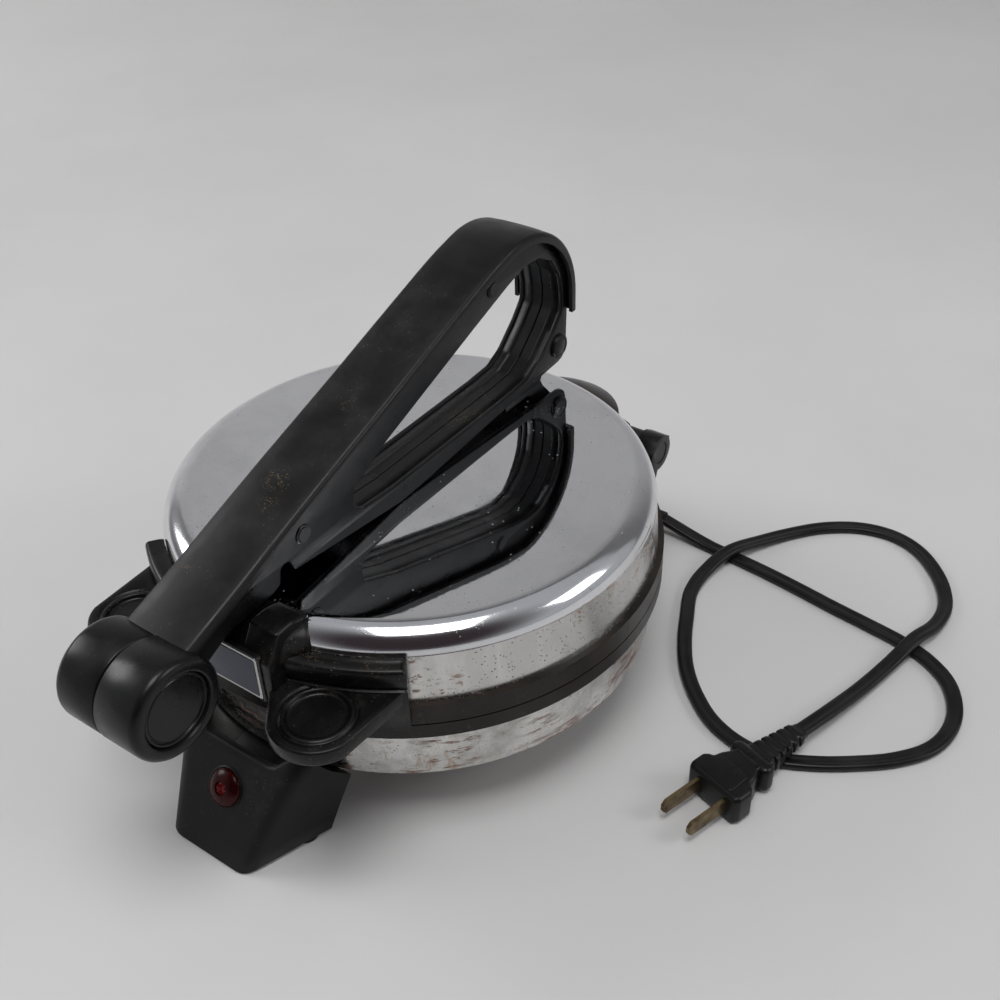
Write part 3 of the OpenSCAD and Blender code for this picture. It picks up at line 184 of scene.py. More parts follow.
def chrome_lid():
    """Lid: mirror top with pits and faint haze, polished shoulder, satin skirt with rust specks."""
    m = Nodes("polished_chrome")
    z = m.height()
    skirt = m.ramp(z, *SKIRT_END, 1.0, 0.0)
    haze = m.noise(26, 6, 0.7)
    fine = m.noise(300, 4, 0.7)
    pits = m.mul(m.ramp(m.cells(330), 0.06, 0.16, 1.0, 0.0), m.ramp(m.noise(55, 4), 0.5, 0.6))
    dots = m.mul(m.ramp(m.cells(900), 0.1, 0.22, 1.0, 0.0), m.ramp(m.noise(32, 5, 0.7), 0.47, 0.62))
    specks = m.mul(m.ramp(m.cells(640), 0.1, 0.24, 1.0, 0.0), m.ramp(m.noise(48, 5, 0.7), 0.45, 0.55))
    rust = m.ramp(m.noise(150, 6, 0.75, m.stretched(1, 1, 2.2)), 0.53, 0.6)
    rust = m.mul(rust, m.ramp(m.noise(30, 4), 0.47, 0.57))
    streak = m.ramp(m.noise(40, 5, 0.7, m.stretched(1, 1, 0.25)), 0.42, 0.62)
    base = m.mix(skirt, (0.74, 0.75, 0.775), (0.74, 0.73, 0.71))
    base = m.mix(m.mul(m.ramp(haze, 0.45, 0.72), 0.28), base, (0.42, 0.42, 0.43))
    base = m.mix(m.mul(m.mul(streak, skirt), 0.35), base, (0.40, 0.39, 0.37))
    holes = m.larger(pits, m.mul(dots, 0.6))
    base = m.mix(m.mul(holes, 0.8), base, (0.10, 0.08, 0.065))
    base = m.mix(m.mul(m.mul(specks, skirt), 0.9), base, (0.15, 0.065, 0.03))
    base = m.mix(m.mul(m.mul(rust, skirt), 0.75), base, (0.26, 0.13, 0.06))
    dirt = m.larger(m.mul(m.larger(specks, rust), skirt), holes)
    rough = m.add(m.ramp(haze, 0.45, 0.8, 0.025, 0.09), m.mul(dirt, 0.4))
    rough = m.add(rough, m.add(m.mul(skirt, 0.12), m.ramp(z, *SHOULDER_END, 0.09, 0.0)))
    m.set(Base_Color=base, Roughness=rough, Metallic=m.ramp(dirt, 0.0, 1.0, 1.0, 0.2))
    m.bump(m.add(m.mul(haze, 0.8), m.mul(fine, 0.03)), 0.05, 0.0004)
    return m.mat


def chrome_pan():
    """Lower pan: dull chrome with grey stains, rust streaks along its side, specks and black marks."""
    m = Nodes("satin_chrome")
    cloudy = m.noise(34, 6, 0.7)
    patch = m.ramp(m.noise(26, 4), 0.46, 0.58)
    streaks = m.mul(m.ramp(m.noise(120, 6, 0.75, m.stretched(0.5, 0.5, 2.6)), 0.52, 0.56), patch)
    spots = m.mul(m.ramp(m.cells(620), 0.1, 0.24, 1.0, 0.0), m.ramp(m.noise(60, 4), 0.46, 0.58))
    drip = m.ramp(m.noise(130, 5, 0.7, m.stretched(1.6, 1.6, 0.3)), 0.56, 0.66)
    drip = m.mul(drip, m.ramp(m.noise(20, 3), 0.5, 0.62))
    burnt = m.ramp(m.noise(150, 5, 0.7, m.stretched(1, 1, 2.2)), 0.63, 0.68)
    base = m.mix(m.ramp(cloudy, 0.38, 0.66), (0.74, 0.73, 0.71), (0.40, 0.39, 0.37))
    base = m.mix(m.mul(drip, 0.6), base, (0.36, 0.21, 0.10))
    base = m.mix(m.mul(streaks, 0.9), base, (0.17, 0.06, 0.025))
    base = m.mix(m.mul(spots, 0.85), base, (0.10, 0.06, 0.04))
    base = m.mix(m.mul(burnt, 0.85), base, (0.05, 0.035, 0.03))
    dirt = m.larger(m.larger(streaks, spots), m.larger(burnt, m.mul(drip, 0.5)))
    rough = m.add(m.ramp(cloudy, 0.3, 0.7, 0.22, 0.38), m.mul(dirt, 0.3))
    m.set(Base_Color=base, Roughness=rough, Metallic=m.ramp(dirt, 0.0, 1.0, 1.0, 0.1))
    m.bump(m.add(m.mul(m.noise(160, 4), 0.6), m.mul(dirt, 0.5)), 0.10, 0.0003)
    return m.mat


def dark_cast():
    """Coated cast plate: brown-black with a baked-on sheen and scuffs."""
    m = Nodes("dark_plate")
    cloud = m.noise(60, 6, 0.7)
    base = m.mix(m.ramp(cloud, 0.35, 0.7), (0.008, 0.0065, 0.006), (0.022, 0.0155, 0.012))
    base = m.mix(m.mul(m.ramp(m.noise(260, 5, 0.8), 0.58, 0.7), 0.4), base, (0.10, 0.065, 0.045))
    m.set(Base_Color=base, Roughness=m.ramp(cloud, 0.3, 0.75, 0.28, 0.46))
    m.bsdf.inputs["Specular IOR Level"].default_value = 0.26
    m.bump(m.add(m.noise(700, 3), m.mul(cloud, 0.6)), 0.16, 0.0003)
    return m.mat


def metal(name, colour, rough=0.3, tarnish=0.35, stain=(0.12, 0.09, 0.06)):
    m = Nodes(name)
    cloud = m.noise(120, 5, 0.7)
    fine = m.noise(900, 3)
    base = m.mix(m.mul(m.ramp(cloud, 0.42, 0.72), tarnish), colour, stain)
    m.set(Base_Color=base, Metallic=1.0, Roughness=m.ramp(cloud, 0.3, 0.8, rough, rough + 0.25))
    m.bump(fine, 0.15, 0.0001)
    return m.mat


def ceramic(name, colour):
    m = Nodes(name)
    cloud = m.noise(200, 5)
    base = m.mix(m.ramp(cloud, 0.4, 0.75), colour, tuple(c * 0.8 for c in colour))
    m.set(Base_Color=base, Roughness=m.ramp(cloud, 0.3, 0.7, 0.35, 0.55))
    m.bump(m.noise(1400, 3), 0.15, 0.0001)
    return m.mat


def sleeving():
    m = Nodes("lead_insulation")
    w = m.new("ShaderNodeTexWave")
    m.put(w.inputs["Vector"], m.pos)
    w.inputs["Scale"].default_value = 700
    m.set(Base_Color=m.mix(w.outputs["Fac"], (0.42, 0.41, 0.38), (0.62, 0.60, 0.55)), Roughness=0.8)
    m.bump(w.outputs["Fac"], 0.3, 0.0002)
    return m.mat


def lens_red():
    """Red lens: the skin; its radial facets have a material of their own, a brighter red that is a painted highlight.
    """
    m = Nodes("red_lens")
    cloud = m.noise(260, 4)
    base = m.mix(m.ramp(cloud, 0.3, 0.7), (0.020, 0.0005, 0.0006), (0.046, 0.0012, 0.0012))
    m.set(Base_Color=base, Roughness=0.28)
    m.bsdf.inputs["Specular IOR Level"].default_value = 0.14
    m.bsdf.inputs["Coat Weight"].default_value = 0.05
    m.bsdf.inputs["Coat Roughness"].default_value = 0.1
    m.bump(m.noise(900, 3), 0.06, 0.0001)
    return m.mat


def lens_facets_painted_highlight():
    m = Nodes("red_facets_painted_highlight")
    cloud = m.noise(500, 4)
    # Brighter red than the lens skin: a painted highlight on the facets
    m.set(Base_Color=m.mix(cloud, (0.085, 0.002, 0.002), (0.17, 0.006, 0.005)), Roughness=0.35)
    m.bsdf.inputs["Specular IOR Level"].default_value = 0.15
    return m.mat


def lamp_glass():
    m = Nodes("lamp_glass")
    m.set(Base_Color=m.mix(m.noise(300), (0.8, 0.35, 0.12), (0.95, 0.6, 0.3)), Roughness=0.1)
    m.bsdf.inputs["Transmission Weight"].default_value = 0.6
    return m.mat


def plate_blank():
    """Blank name plate: dark printed field with fine brushed grain."""
    m = Nodes("name_plate")
    grain = m.noise(500, 4, 0.7, m.stretched(0.15, 1, 1))
    base = m.mix(grain, (0.030, 0.034, 0.055), (0.060, 0.066, 0.095))
    m.set(Base_Color=base, Roughness=m.ramp(grain, 0.3, 0.7, 0.28, 0.42), Metallic=0.4)
    m.bump(grain, 0.08, 0.0001)
    return m.mat


def plate_edge():
    m = Nodes("name_plate_edge")
    cloud = m.noise(300, 4)
    m.set(Base_Color=m.mix(cloud, (0.42, 0.42, 0.41), (0.60, 0.60, 0.58)), Roughness=0.3, Metallic=0.9)
    m.bump(cloud, 0.1, 0.0001)
    return m.mat


def cord_skin():
    m = Nodes("cord_skin")
    cloud = m.noise(70, 5, 0.7)
    base = m.mix(m.ramp(cloud, 0.4, 0.7), (0.006, 0.006, 0.0065), (0.014, 0.013, 0.0125))
    base = m.mix(m.mul(m.ramp(m.noise(500, 5, 0.8), 0.6, 0.72), 0.2), base, (0.06, 0.055, 0.05))
    m.set(Base_Color=base, Roughness=m.ramp(cloud, 0.3, 0.7, 0.28, 0.42))
    m.bsdf.inputs["Specular IOR Level"].default_value = 0.28
    m.bump(m.noise(1500, 3), 0.12, 0.0001)
    return m.mat


BLACK = (0.0055, 0.0055, 0.006)
# Where brown smudges lie, as (place, reach), in millimetres
COVER_SMUDGES = [((-1, -64, 125.5), 9), ((2, -72, 122.7), 6), ((1.5, -30, 137.5), 5), ((-7.5, -102, 111.6), 4)]
LEVER_SMUDGES = [((3.5, 33, 101), 12), ((1.5, 25, 101), 8)]
BRACKET_SMUDGES = [((36, -90, 75), 8), ((50, -82, 84.5), 8), ((31, -90, 84.5), 7)]
mats = {
    "plastic": plastic("black_plastic", BLACK, 0.34, 1.0, 0.35),
    "cover": plastic("cover_plastic", (0.0065, 0.0062, 0.0066), 0.37, 1.1, 0.5, COVER_SMUDGES),
    "lever": plastic("lever_plastic", (0.0046, 0.0046, 0.005), 0.33, 0.8, 0.3, LEVER_SMUDGES),
    "grip": plastic("grip_plastic", BLACK, 0.32, 0.7, 0.2),
    "bracket": plastic("bracket_plastic", (0.005, 0.0048, 0.0048), 0.30, 1.0, 1.0, BRACKET_SMUDGES),
    "foot": plastic("foot_plastic", (0.0038, 0.0038, 0.0042), 0.42, 1.8, 0.5),
    "brown": plastic("brown_plastic", (0.011, 0.0082, 0.0072), 0.32, 0.7, 0.4),
    "rubber": plastic("soft_black", (0.008, 0.008, 0.008), 0.5, 1.5, 0.4),
    "plug": plastic("plug_plastic", (0.0060, 0.0060, 0.0064), 0.33, 0.8, 0.3),
    "cord": cord_skin(),
    "lid": chrome_lid(),
    "pan": chrome_pan(),
    "cast": dark_cast(),
    "zinc": metal("zinc_steel", (0.62, 0.62, 0.60), 0.3),
    "element": metal("element_steel", (0.24, 0.23, 0.22), 0.45, 0.6),
    "brass": metal("tarnished_brass", (0.24, 0.18, 0.10), 0.34, 0.85, (0.07, 0.05, 0.03)),
    "ceramic": ceramic("ceramic", (0.75, 0.72, 0.62)),
    "sleeving": sleeving(),
    "lens": lens_red(),
    "facets": lens_facets_painted_highlight(),
    "lamp": lamp_glass(),
    "badge": plate_blank(),
    "badge_edge": plate_edge(),
}

NODE_LOOK = {
    "lower_pan": "pan", "lower_plate": "cast", "upper_plate": "cast", "lower_element": "element",
    "upper_element": "element", "lower_clamp_plate": "zinc", "upper_clamp_plate": "zinc",
    "lower_clamp_nut": "zinc", "upper_clamp_nut": "zinc", "thermal_fuse": "zinc", "foot_screws": "zinc",
    "hinge_pins": "brown", "plate_screws": "zinc", "lug_screws": "zinc", "lever_screws": "lever",
    "thermostat": "ceramic", "terminal_block": "ceramic", "base_leads": "sleeving", "lid_leads": "sleeving",
    "lead_sleeve": "rubber", "front_foot": "foot", "indicator_lens": "lens", "neon_lamp": "lamp",
    "rear_foot": "plastic", "rear_foot_cover": "zinc", "foot_pads": "rubber", "cord_sleeve": "rubber",
    "power_cord": "cord", "plug_body": "plug", "plug_blades": "brass", "lid_shell": "lid", "front_bracket": "bracket",
    "name_plate": "badge", "rear_bracket": "plastic", "wiring_cover": "brown", "lever_lug": "plastic",
    "lever_half_right": "lever", "lever_half_left": "lever", "lever_cover": "cover",
    "grip_cap_right": "grip", "grip_cap_left": "grip", "pivot_pin": "plastic",
}
for node, look in NODE_LOOK.items():
    obj = frame["nodes"][node]
    obj.data.materials.clear()
    obj.data.materials.append(mats[look])

# ---------------------------------------------------------------- mesh helpers


def finish_mesh(name, bm, mat, sharp=38):
    """bm is in millimetres; it is welded, turned the right way, and made an object."""
    bmesh.ops.remove_doubles(bm, verts=bm.verts, dist=0.002)
    bmesh.ops.recalc_face_normals(bm, faces=bm.faces)
    for v in bm.verts:
        v.co = to_m(v.co)
    for f in bm.faces:
        f.smooth = True
    for e in bm.edges:
        e.smooth = not (len(e.link_faces) == 2 and e.calc_face_angle(0) > math.radians(sharp))
    mesh = bpy.data.meshes.new(name)
    bm.to_mesh(mesh)
    bm.free()
    mesh.materials.append(mats[mat])
    obj = bpy.data.objects.new(name, mesh)
    bpy.context.collection.objects.link(obj)
    return obj


def rings(name, stations, mat, closed_path=False, **opts):
    """Skins a row of equal rings of points."""
    bm = bmesh.new()
    rows = [[bm.verts.new(p) for p in ring] for ring in stations]
    n = len(rows[0])
    last = len(rows) if closed_path else len(rows) - 1
    for i in range(last):
        a, b = rows[i], rows[(i + 1) % len(rows)]
        for k in range(n):
            bm.faces.new((a[k], a[(k + 1) % n], b[(k + 1) % n], b[k]))
    if not closed_path:
        bm.faces.new(rows[0])
        bm.faces.new(list(reversed(rows[-1])))
    return finish_mesh(name, bm, mat, **opts)


def lathe(name, profile, mat, steps=160, start=0.0, end=360.0, frame_of=None, **opts):
    """Turns a profile of (radius, height) about Z; frame_of places each point."""
    bm = bmesh.new()
    whole = end - start >= 360
    count = steps if whole else steps + 1
    rows = []
    for i in range(count):
        a = math.radians(start + (end - start) * i / steps)
        row = []
        for r, h in profile:
            p = Vector((r * math.cos(a), r * math.sin(a), h))
            row.append(bm.verts.new(frame_of @ p if frame_of else p))
        rows.append(row)
    n = len(profile)
    shut = profile[0] == profile[-1]
    for i in range(steps):
        a, b = rows[i], rows[(i + 1) % count]
        for k in range(n - 1):
            bm.faces.new((a[k], b[k], b[k + 1], a[k + 1]))
    if not whole and shut:
        bmesh.ops.remove_doubles(bm, verts=bm.verts, dist=0.0001)
        bm.verts.ensure_lookup_table()
        for row in (rows[0], rows[-1]):
            live = [v for v in row[:-1] if v.is_valid]
            bm.faces.new(live)
    return finish_mesh(name, bm, mat, **opts)


def rounded(points, radius, steps=6):
    """Rounds the corners of a closed outline; radius is a number or one for each corner."""
    out = []
    n = len(points)
    for i in range(n):
        p0, p, p1 = (Vector(points[j % n]) for j in (i - 1, i, i + 1))
        r = radius[i] if isinstance(radius, (list, tuple)) else radius
        a, b = (p0 - p), (p1 - p)
        if r <= 0 or a.length < 1e-6 or b.length < 1e-6:
            out.append(tuple(p))
            continue
        angle = a.angle(b)
        if angle > math.radians(179):
            out.append(tuple(p))
            continue
        cut = min(r / math.tan(angle / 2), a.length * 0.48, b.length * 0.48)
        s, e = p + a.normalized() * cut, p + b.normalized() * cut
        for k in range(steps + 1):
            t = k / steps
            out.append(tuple(s * (1 - t) ** 2 + p * 2 * t * (1 - t) + e * t * t))
    return out


def plate(name, loops, low, high, bevel, mat, place, res=2, **opts):
    """A flat piece from closed outlines, the first one outside and the rest holes, with round edges."""
    cu = bpy.data.curves.new(name + "_outline", "CURVE")
    cu.dimensions = "2D"
    cu.fill_mode = "BOTH"
    cu.extrude = (high - low) / 2 - bevel
    cu.bevel_depth = bevel
    cu.bevel_resolution = res
    cu.offset = -bevel
    for loop in loops:
        sp = cu.splines.new("POLY")
        sp.points.add(len(loop) - 1)
        for q, (u, v) in zip(sp.points, loop):
            q.co = (u, v, 0, 1)
        sp.use_cyclic_u = True
    tmp = bpy.data.objects.new(name + "_tmp", cu)
    bpy.context.collection.objects.link(tmp)
    deps = bpy.context.evaluated_depsgraph_get()
    mesh = bpy.data.meshes.new_from_object(tmp.evaluated_get(deps))
    bm = bmesh.new()
    bm.from_mesh(mesh)
    for v in bm.verts:
        v.co = place(v.co.x, v.co.y, v.co.z + (low + high) / 2)
    bpy.data.objects.remove(tmp)
    bpy.data.curves.remove(cu)
    bpy.data.meshes.remove(mesh)
    return finish_mesh(name, bm, mat, **opts)


def across(place=(0, 0)):
    """Turns a lathe's axis from up to across the cooker, at (y, height) in the lever's plane."""
    return Matrix.Translation((0, *place)) @ Matrix.Rotation(math.radians(90), 4, "Y")


def join(name, parts):
    """Makes one object of several."""
    bpy.ops.object.select_all(action="DESELECT")
    for p in parts:
        p.select_set(True)
    bpy.context.view_layer.objects.active = parts[0]
    bpy.ops.object.join()
    parts[0].name = name
    return parts[0]


def soft_copy(node, name, mat, width):
    """A copy of a CAD node whose edges are rounded, on the node's own body and in its place."""
    bm = bmesh.new()
    bm.from_mesh(frame["nodes"][node].data)
    bm.transform(frame["nodes"][node].matrix_world)
    for v in bm.verts:
        v.co = (v.co.x * 1000, v.co.y * 1000 - SHIFT_Y, v.co.z * 1000)
    bmesh.ops.remove_doubles(bm, verts=bm.verts, dist=0.01)
    bmesh.ops.dissolve_limit(bm, angle_limit=math.radians(1.5), verts=bm.verts, edges=bm.edges)
    edges = [e for e in bm.edges if len(e.link_faces) == 2 and e.calc_face_angle(0) > math.radians(32)]
    bmesh.ops.bevel(bm, geom=edges, offset=width, segments=3, profile=0.5, affect="EDGES", clamp_overlap=True)
    obj = finish_mesh(name, bm, mat)
    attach(obj, frame_body(node))
    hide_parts(node)
    return obj


def frame_body(node):
    for body, names in frame["record"]["behaviour"]["bodies"].items():
        if node in names:
            return body
    return None


def settle(obj, body, *nodes, slot):
    """Puts a piece on its body in the place of CAD nodes, and hides the nodes. The slot argument is not used."""
    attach(obj, body)
    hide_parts(*nodes)
    return obj


def smooth_path(points, per=6):
    """Catmull-Rom through the points."""
    pts = [Vector(p) for p in points]
    out = []
    for i in range(len(pts) - 1):
        a, b = pts[max(i - 1, 0)], pts[i]
        c, d = pts[i + 1], pts[min(i + 2, len(pts) - 1)]
        for k in range(per):
            t = k / per
            out.append(0.5 * (2 * b + (c - a) * t + (2 * a - 5 * b + 4 * c - d) * t * t
                              + (3 * b - a - 3 * c + d) * t ** 3))
    out.append(pts[-1])
    return out


def normals_2d(path, closed=False):
    """Left-hand normals of a path in a plane."""
    n = len(path)
    out = []
    for i in range(n):
        a = path[i - 1] if (i or closed) else path[i]
        b = path[(i + 1) % n] if (i < n - 1 or closed) else path[i]
        t = (Vector(b) - Vector(a)).normalized()
        out.append(Vector((-t.y, t.x)))
    return out


def circle(centre, r, angles):
    """Points of a circle at the given angles in degrees."""
    return [(centre[0] + r * math.cos(math.radians(t)), centre[1] + r * math.sin(math.radians(t))) for t in angles]


# ---------------------------------------------------------------- lever

# The lever's outlines in its plane, as (y, height): its top from the grip over the bow, its underside, its opening
beam_top = [(-124.8, 103.6), (-121, 105), (-100, 112.3), (-79, 120.1), (-57.5, 127.9), (-24, 139.6), (0, 148.3),
            (18, 154.8), (36, 161.1)]
bow_arc = circle((57.8, 129.3), 36.4, range(105, -1, -5))
top_line = [(p.x, p.y) for p in smooth_path([(*p, 0) for p in beam_top + bow_arc[:2]], 4)][:-4]
top_line += bow_arc + [(94.2, 125), (94.2, 121)]


def cover_section():
    """Crowned top with soft edges and a lip down each side, as (x, height over the line)."""
    half, lip, thick = 14.0, 4.0, 2.0
    out = [(-half, -lip), (-half, -1.9), (-half + 0.25, -1.1), (-half + 0.8, -0.5), (-half + 1.6, -0.2)]
    out += [(-8.6, 0.0), (-7.6, 0.12), (0, 0.22), (7.6, 0.12), (8.6, 0.0)]
    out += [(-x, h) for x, h in reversed(out[:5])]
    out += [(half - 1.6, -lip), (half - 1.6, -thick), (-half + 1.6, -thick), (-half + 1.6, -lip)]
    return out


def build_cover():
    ns = normals_2d(top_line)
    stations = []
    for p, n in zip(top_line, ns):
        stations.append([(x, p[0] + n.x * h, p[1] + n.y * h) for x, h in cover_section()])
    return settle(rings("lever_cover_shell", stations, "cover", sharp=50), "lever", "lever_cover", slot="black_plastic")


def offset_line(line, d):
    return [(p[0] + n.x * d, p[1] + n.y * d) for p, n in zip(line, normals_2d(line))]


PLATE_UNDER = [(91.1, 104.8), (90.2, 101.9), (88.2, 100.1), (85.3, 99.3), (70.8, 98.5), (20, 94.9), (0, 93.4),
               (-18, 92.6), (-36, 94.7), (-66.7, 98.5), (-72.9, 99.2), (-74.2, 103.2), (-75.7, 104.4),
               (-77.6, 104.6), (-79.1, 103.8), (-80.3, 98.2), (-83.8, 96.9), (-103.8, 95.6), (-117.8, 89.3)]
OPENING = [(-42, 105.3), (-42, 112.8), (-23, 121.7), (29, 140.7), (52, 148.8), (62.8, 151.7), (71.8, 151.3),
           (81.3, 146.3), (86.8, 137.8), (88.5, 129.3), (88.5, 121.8), (82, 114.5), (71.8, 105.6), (64, 101.9),
           (50.8, 101.2), (-20, 100.8), (-37.8, 102.2)]
OPENING_ROUND = [3, 4, 8, 8, 8, 6, 6, 6, 6, 6, 6, 8, 8, 8, 8, 6, 4]
BOSSES = ((-67.4, 110.7), (41.6, 151.7))


def build_lever_halves():
    """Each half: a wall, a strip round the opening, two screw bosses and its side of the grip."""
    outer = rounded(offset_line(top_line, -2.3) + PLATE_UNDER, 1.5, 3)
    hole = rounded(OPENING, OPENING_ROUND, 5)
    path = [Vector(p) for p in hole]
    if sum(a.x * b.y - b.x * a.y for a, b in zip(path, path[1:] + path[:1])) > 0:
        path.reverse()
    ns = normals_2d(path, True)
    for side, node in ((1, "lever_half_right"), (-1, "lever_half_left")):
        wall = plate("lever_wall", [outer, hole], 8.4, 10.5, 0.45, "lever",
                     lambda u, v, w, s=side: (s * w, u, v))
        section = [(0.12, 1.35), (0.4, 1.05), (4.4, 1.05), (5.0, 0.35), (8.2, 0.35), (8.45, 0.6), (8.45, 2.8),
                   (0.12, 2.8)]
        strip = rings("lever_strip", [[(side * x, p.x + n.x * d, p.y + n.y * d) for x, d in section]
                                      for p, n in zip(path, ns)], "lever", closed_path=True, sharp=45)
        bosses = []
        for place in BOSSES:
            prof = [(2.75, 10.3), (3.5, 10.3), (3.5, 10.75), (3.2, 11.0), (2.75, 11.0), (2.75, 10.3)]
            bosses.append(lathe("lever_boss", [(r, side * h) for r, h in prof], "lever", 32, frame_of=across(place)))
        turn = across(GRIP_AT)
        g = 17.4 if side > 0 else 17.25
        prof = [(13.0, 0.12), (g - 0.7, 0.12), (g - 0.25, 0.3), (g, 0.7), (g, 15.4), (g - 0.25, 16.6),
                (g - 0.9, 17.6), (g - 1.9, 18.1), (g - 2.8, 18.2), (13.6, 18.15), (13.0, 17.9), (12.75, 17.3),
                (12.75, 14.9), (13.0, 0.12)]
        barrel = lathe("grip_barrel", [(r, side * h) for r, h in prof], "grip", 96, frame_of=turn)
        which = "right" if side > 0 else "left"
        settle(join("lever_side_" + which, [wall, strip, barrel] + bosses), "lever", node, slot="black_plastic")
        cap = [(0, 16.6), (10.6, 16.6), (10.9, 16.35), (11.2, 16.35), (11.5, 16.9), (12.1, 17.0), (12.5, 16.7),
               (12.5, 15.2), (0, 15.2)]
        disc = lathe("grip_disc_" + which, [(r, side * h) for r, h in cap], "grip", 96, frame_of=turn)
        settle(disc, "lever", "grip_cap_" + which, slot="black_plastic")


def build_pivot_pin():
    parts = []
    for s in (1, -1):
        prof = [(0, 12.15), (3.2, 12.1), (3.5, 11.9), (3.8, 12.15), (4.4, 12.1), (4.8, 11.8), (5.0, 11.3),
                (5.0, 10.55), (2.5, 10.55), (2.5, 0)]
        prof = [(r, s * h) for r, h in prof]
        parts.append(lathe("pin_half", prof, "plastic", 64, frame_of=across(PIVOT_AT)))
    settle(join("lever_pin", parts), "lever", "pivot_pin", slot="black_plastic")


# ---------------------------------------------------------------- lid

def build_lid():
    """Lid shell: a leaning skirt, a shoulder that is part of an ellipse, and a flat top."""
    (c0, s0), (c1, s1) = circle((0, 0), 1, (5, 75))
    wide, tall = 7.9 / (c0 - c1), 7.8 / (s1 - s0)
    shoulder = [(92.1 - wide * (c0 - c), 84.5 + tall * (s - s0)) for c, s in circle((0, 0), 1, range(5, 76, 5))]
    prof = [(92.7, 64.8), (93.6, 64.8), (92.25, 83.6), (92.3, 84.1)] + shoulder
    prof += [(82.5, 92.4), (80, 92.45), (60, 92.5), (30, 92.52), (0.0, 92.52)]
    prof = [(r, min(z, 92.35)) for r, z in prof]
    inner = [(0.0, 91.4), (82, 91.4), (86.2, 89.9), (90.9, 84.0), (92.7, 64.8)]
    settle(lathe("lid_dome", prof + inner, "lid", 256, sharp=30), "lid", "lid_shell", slot="polished_chrome")


# Half the angle that the bracket's wall spans, and a thumb rest's middle
WALL_END = 36.6
EAR_AT = (42.0, -101.7)


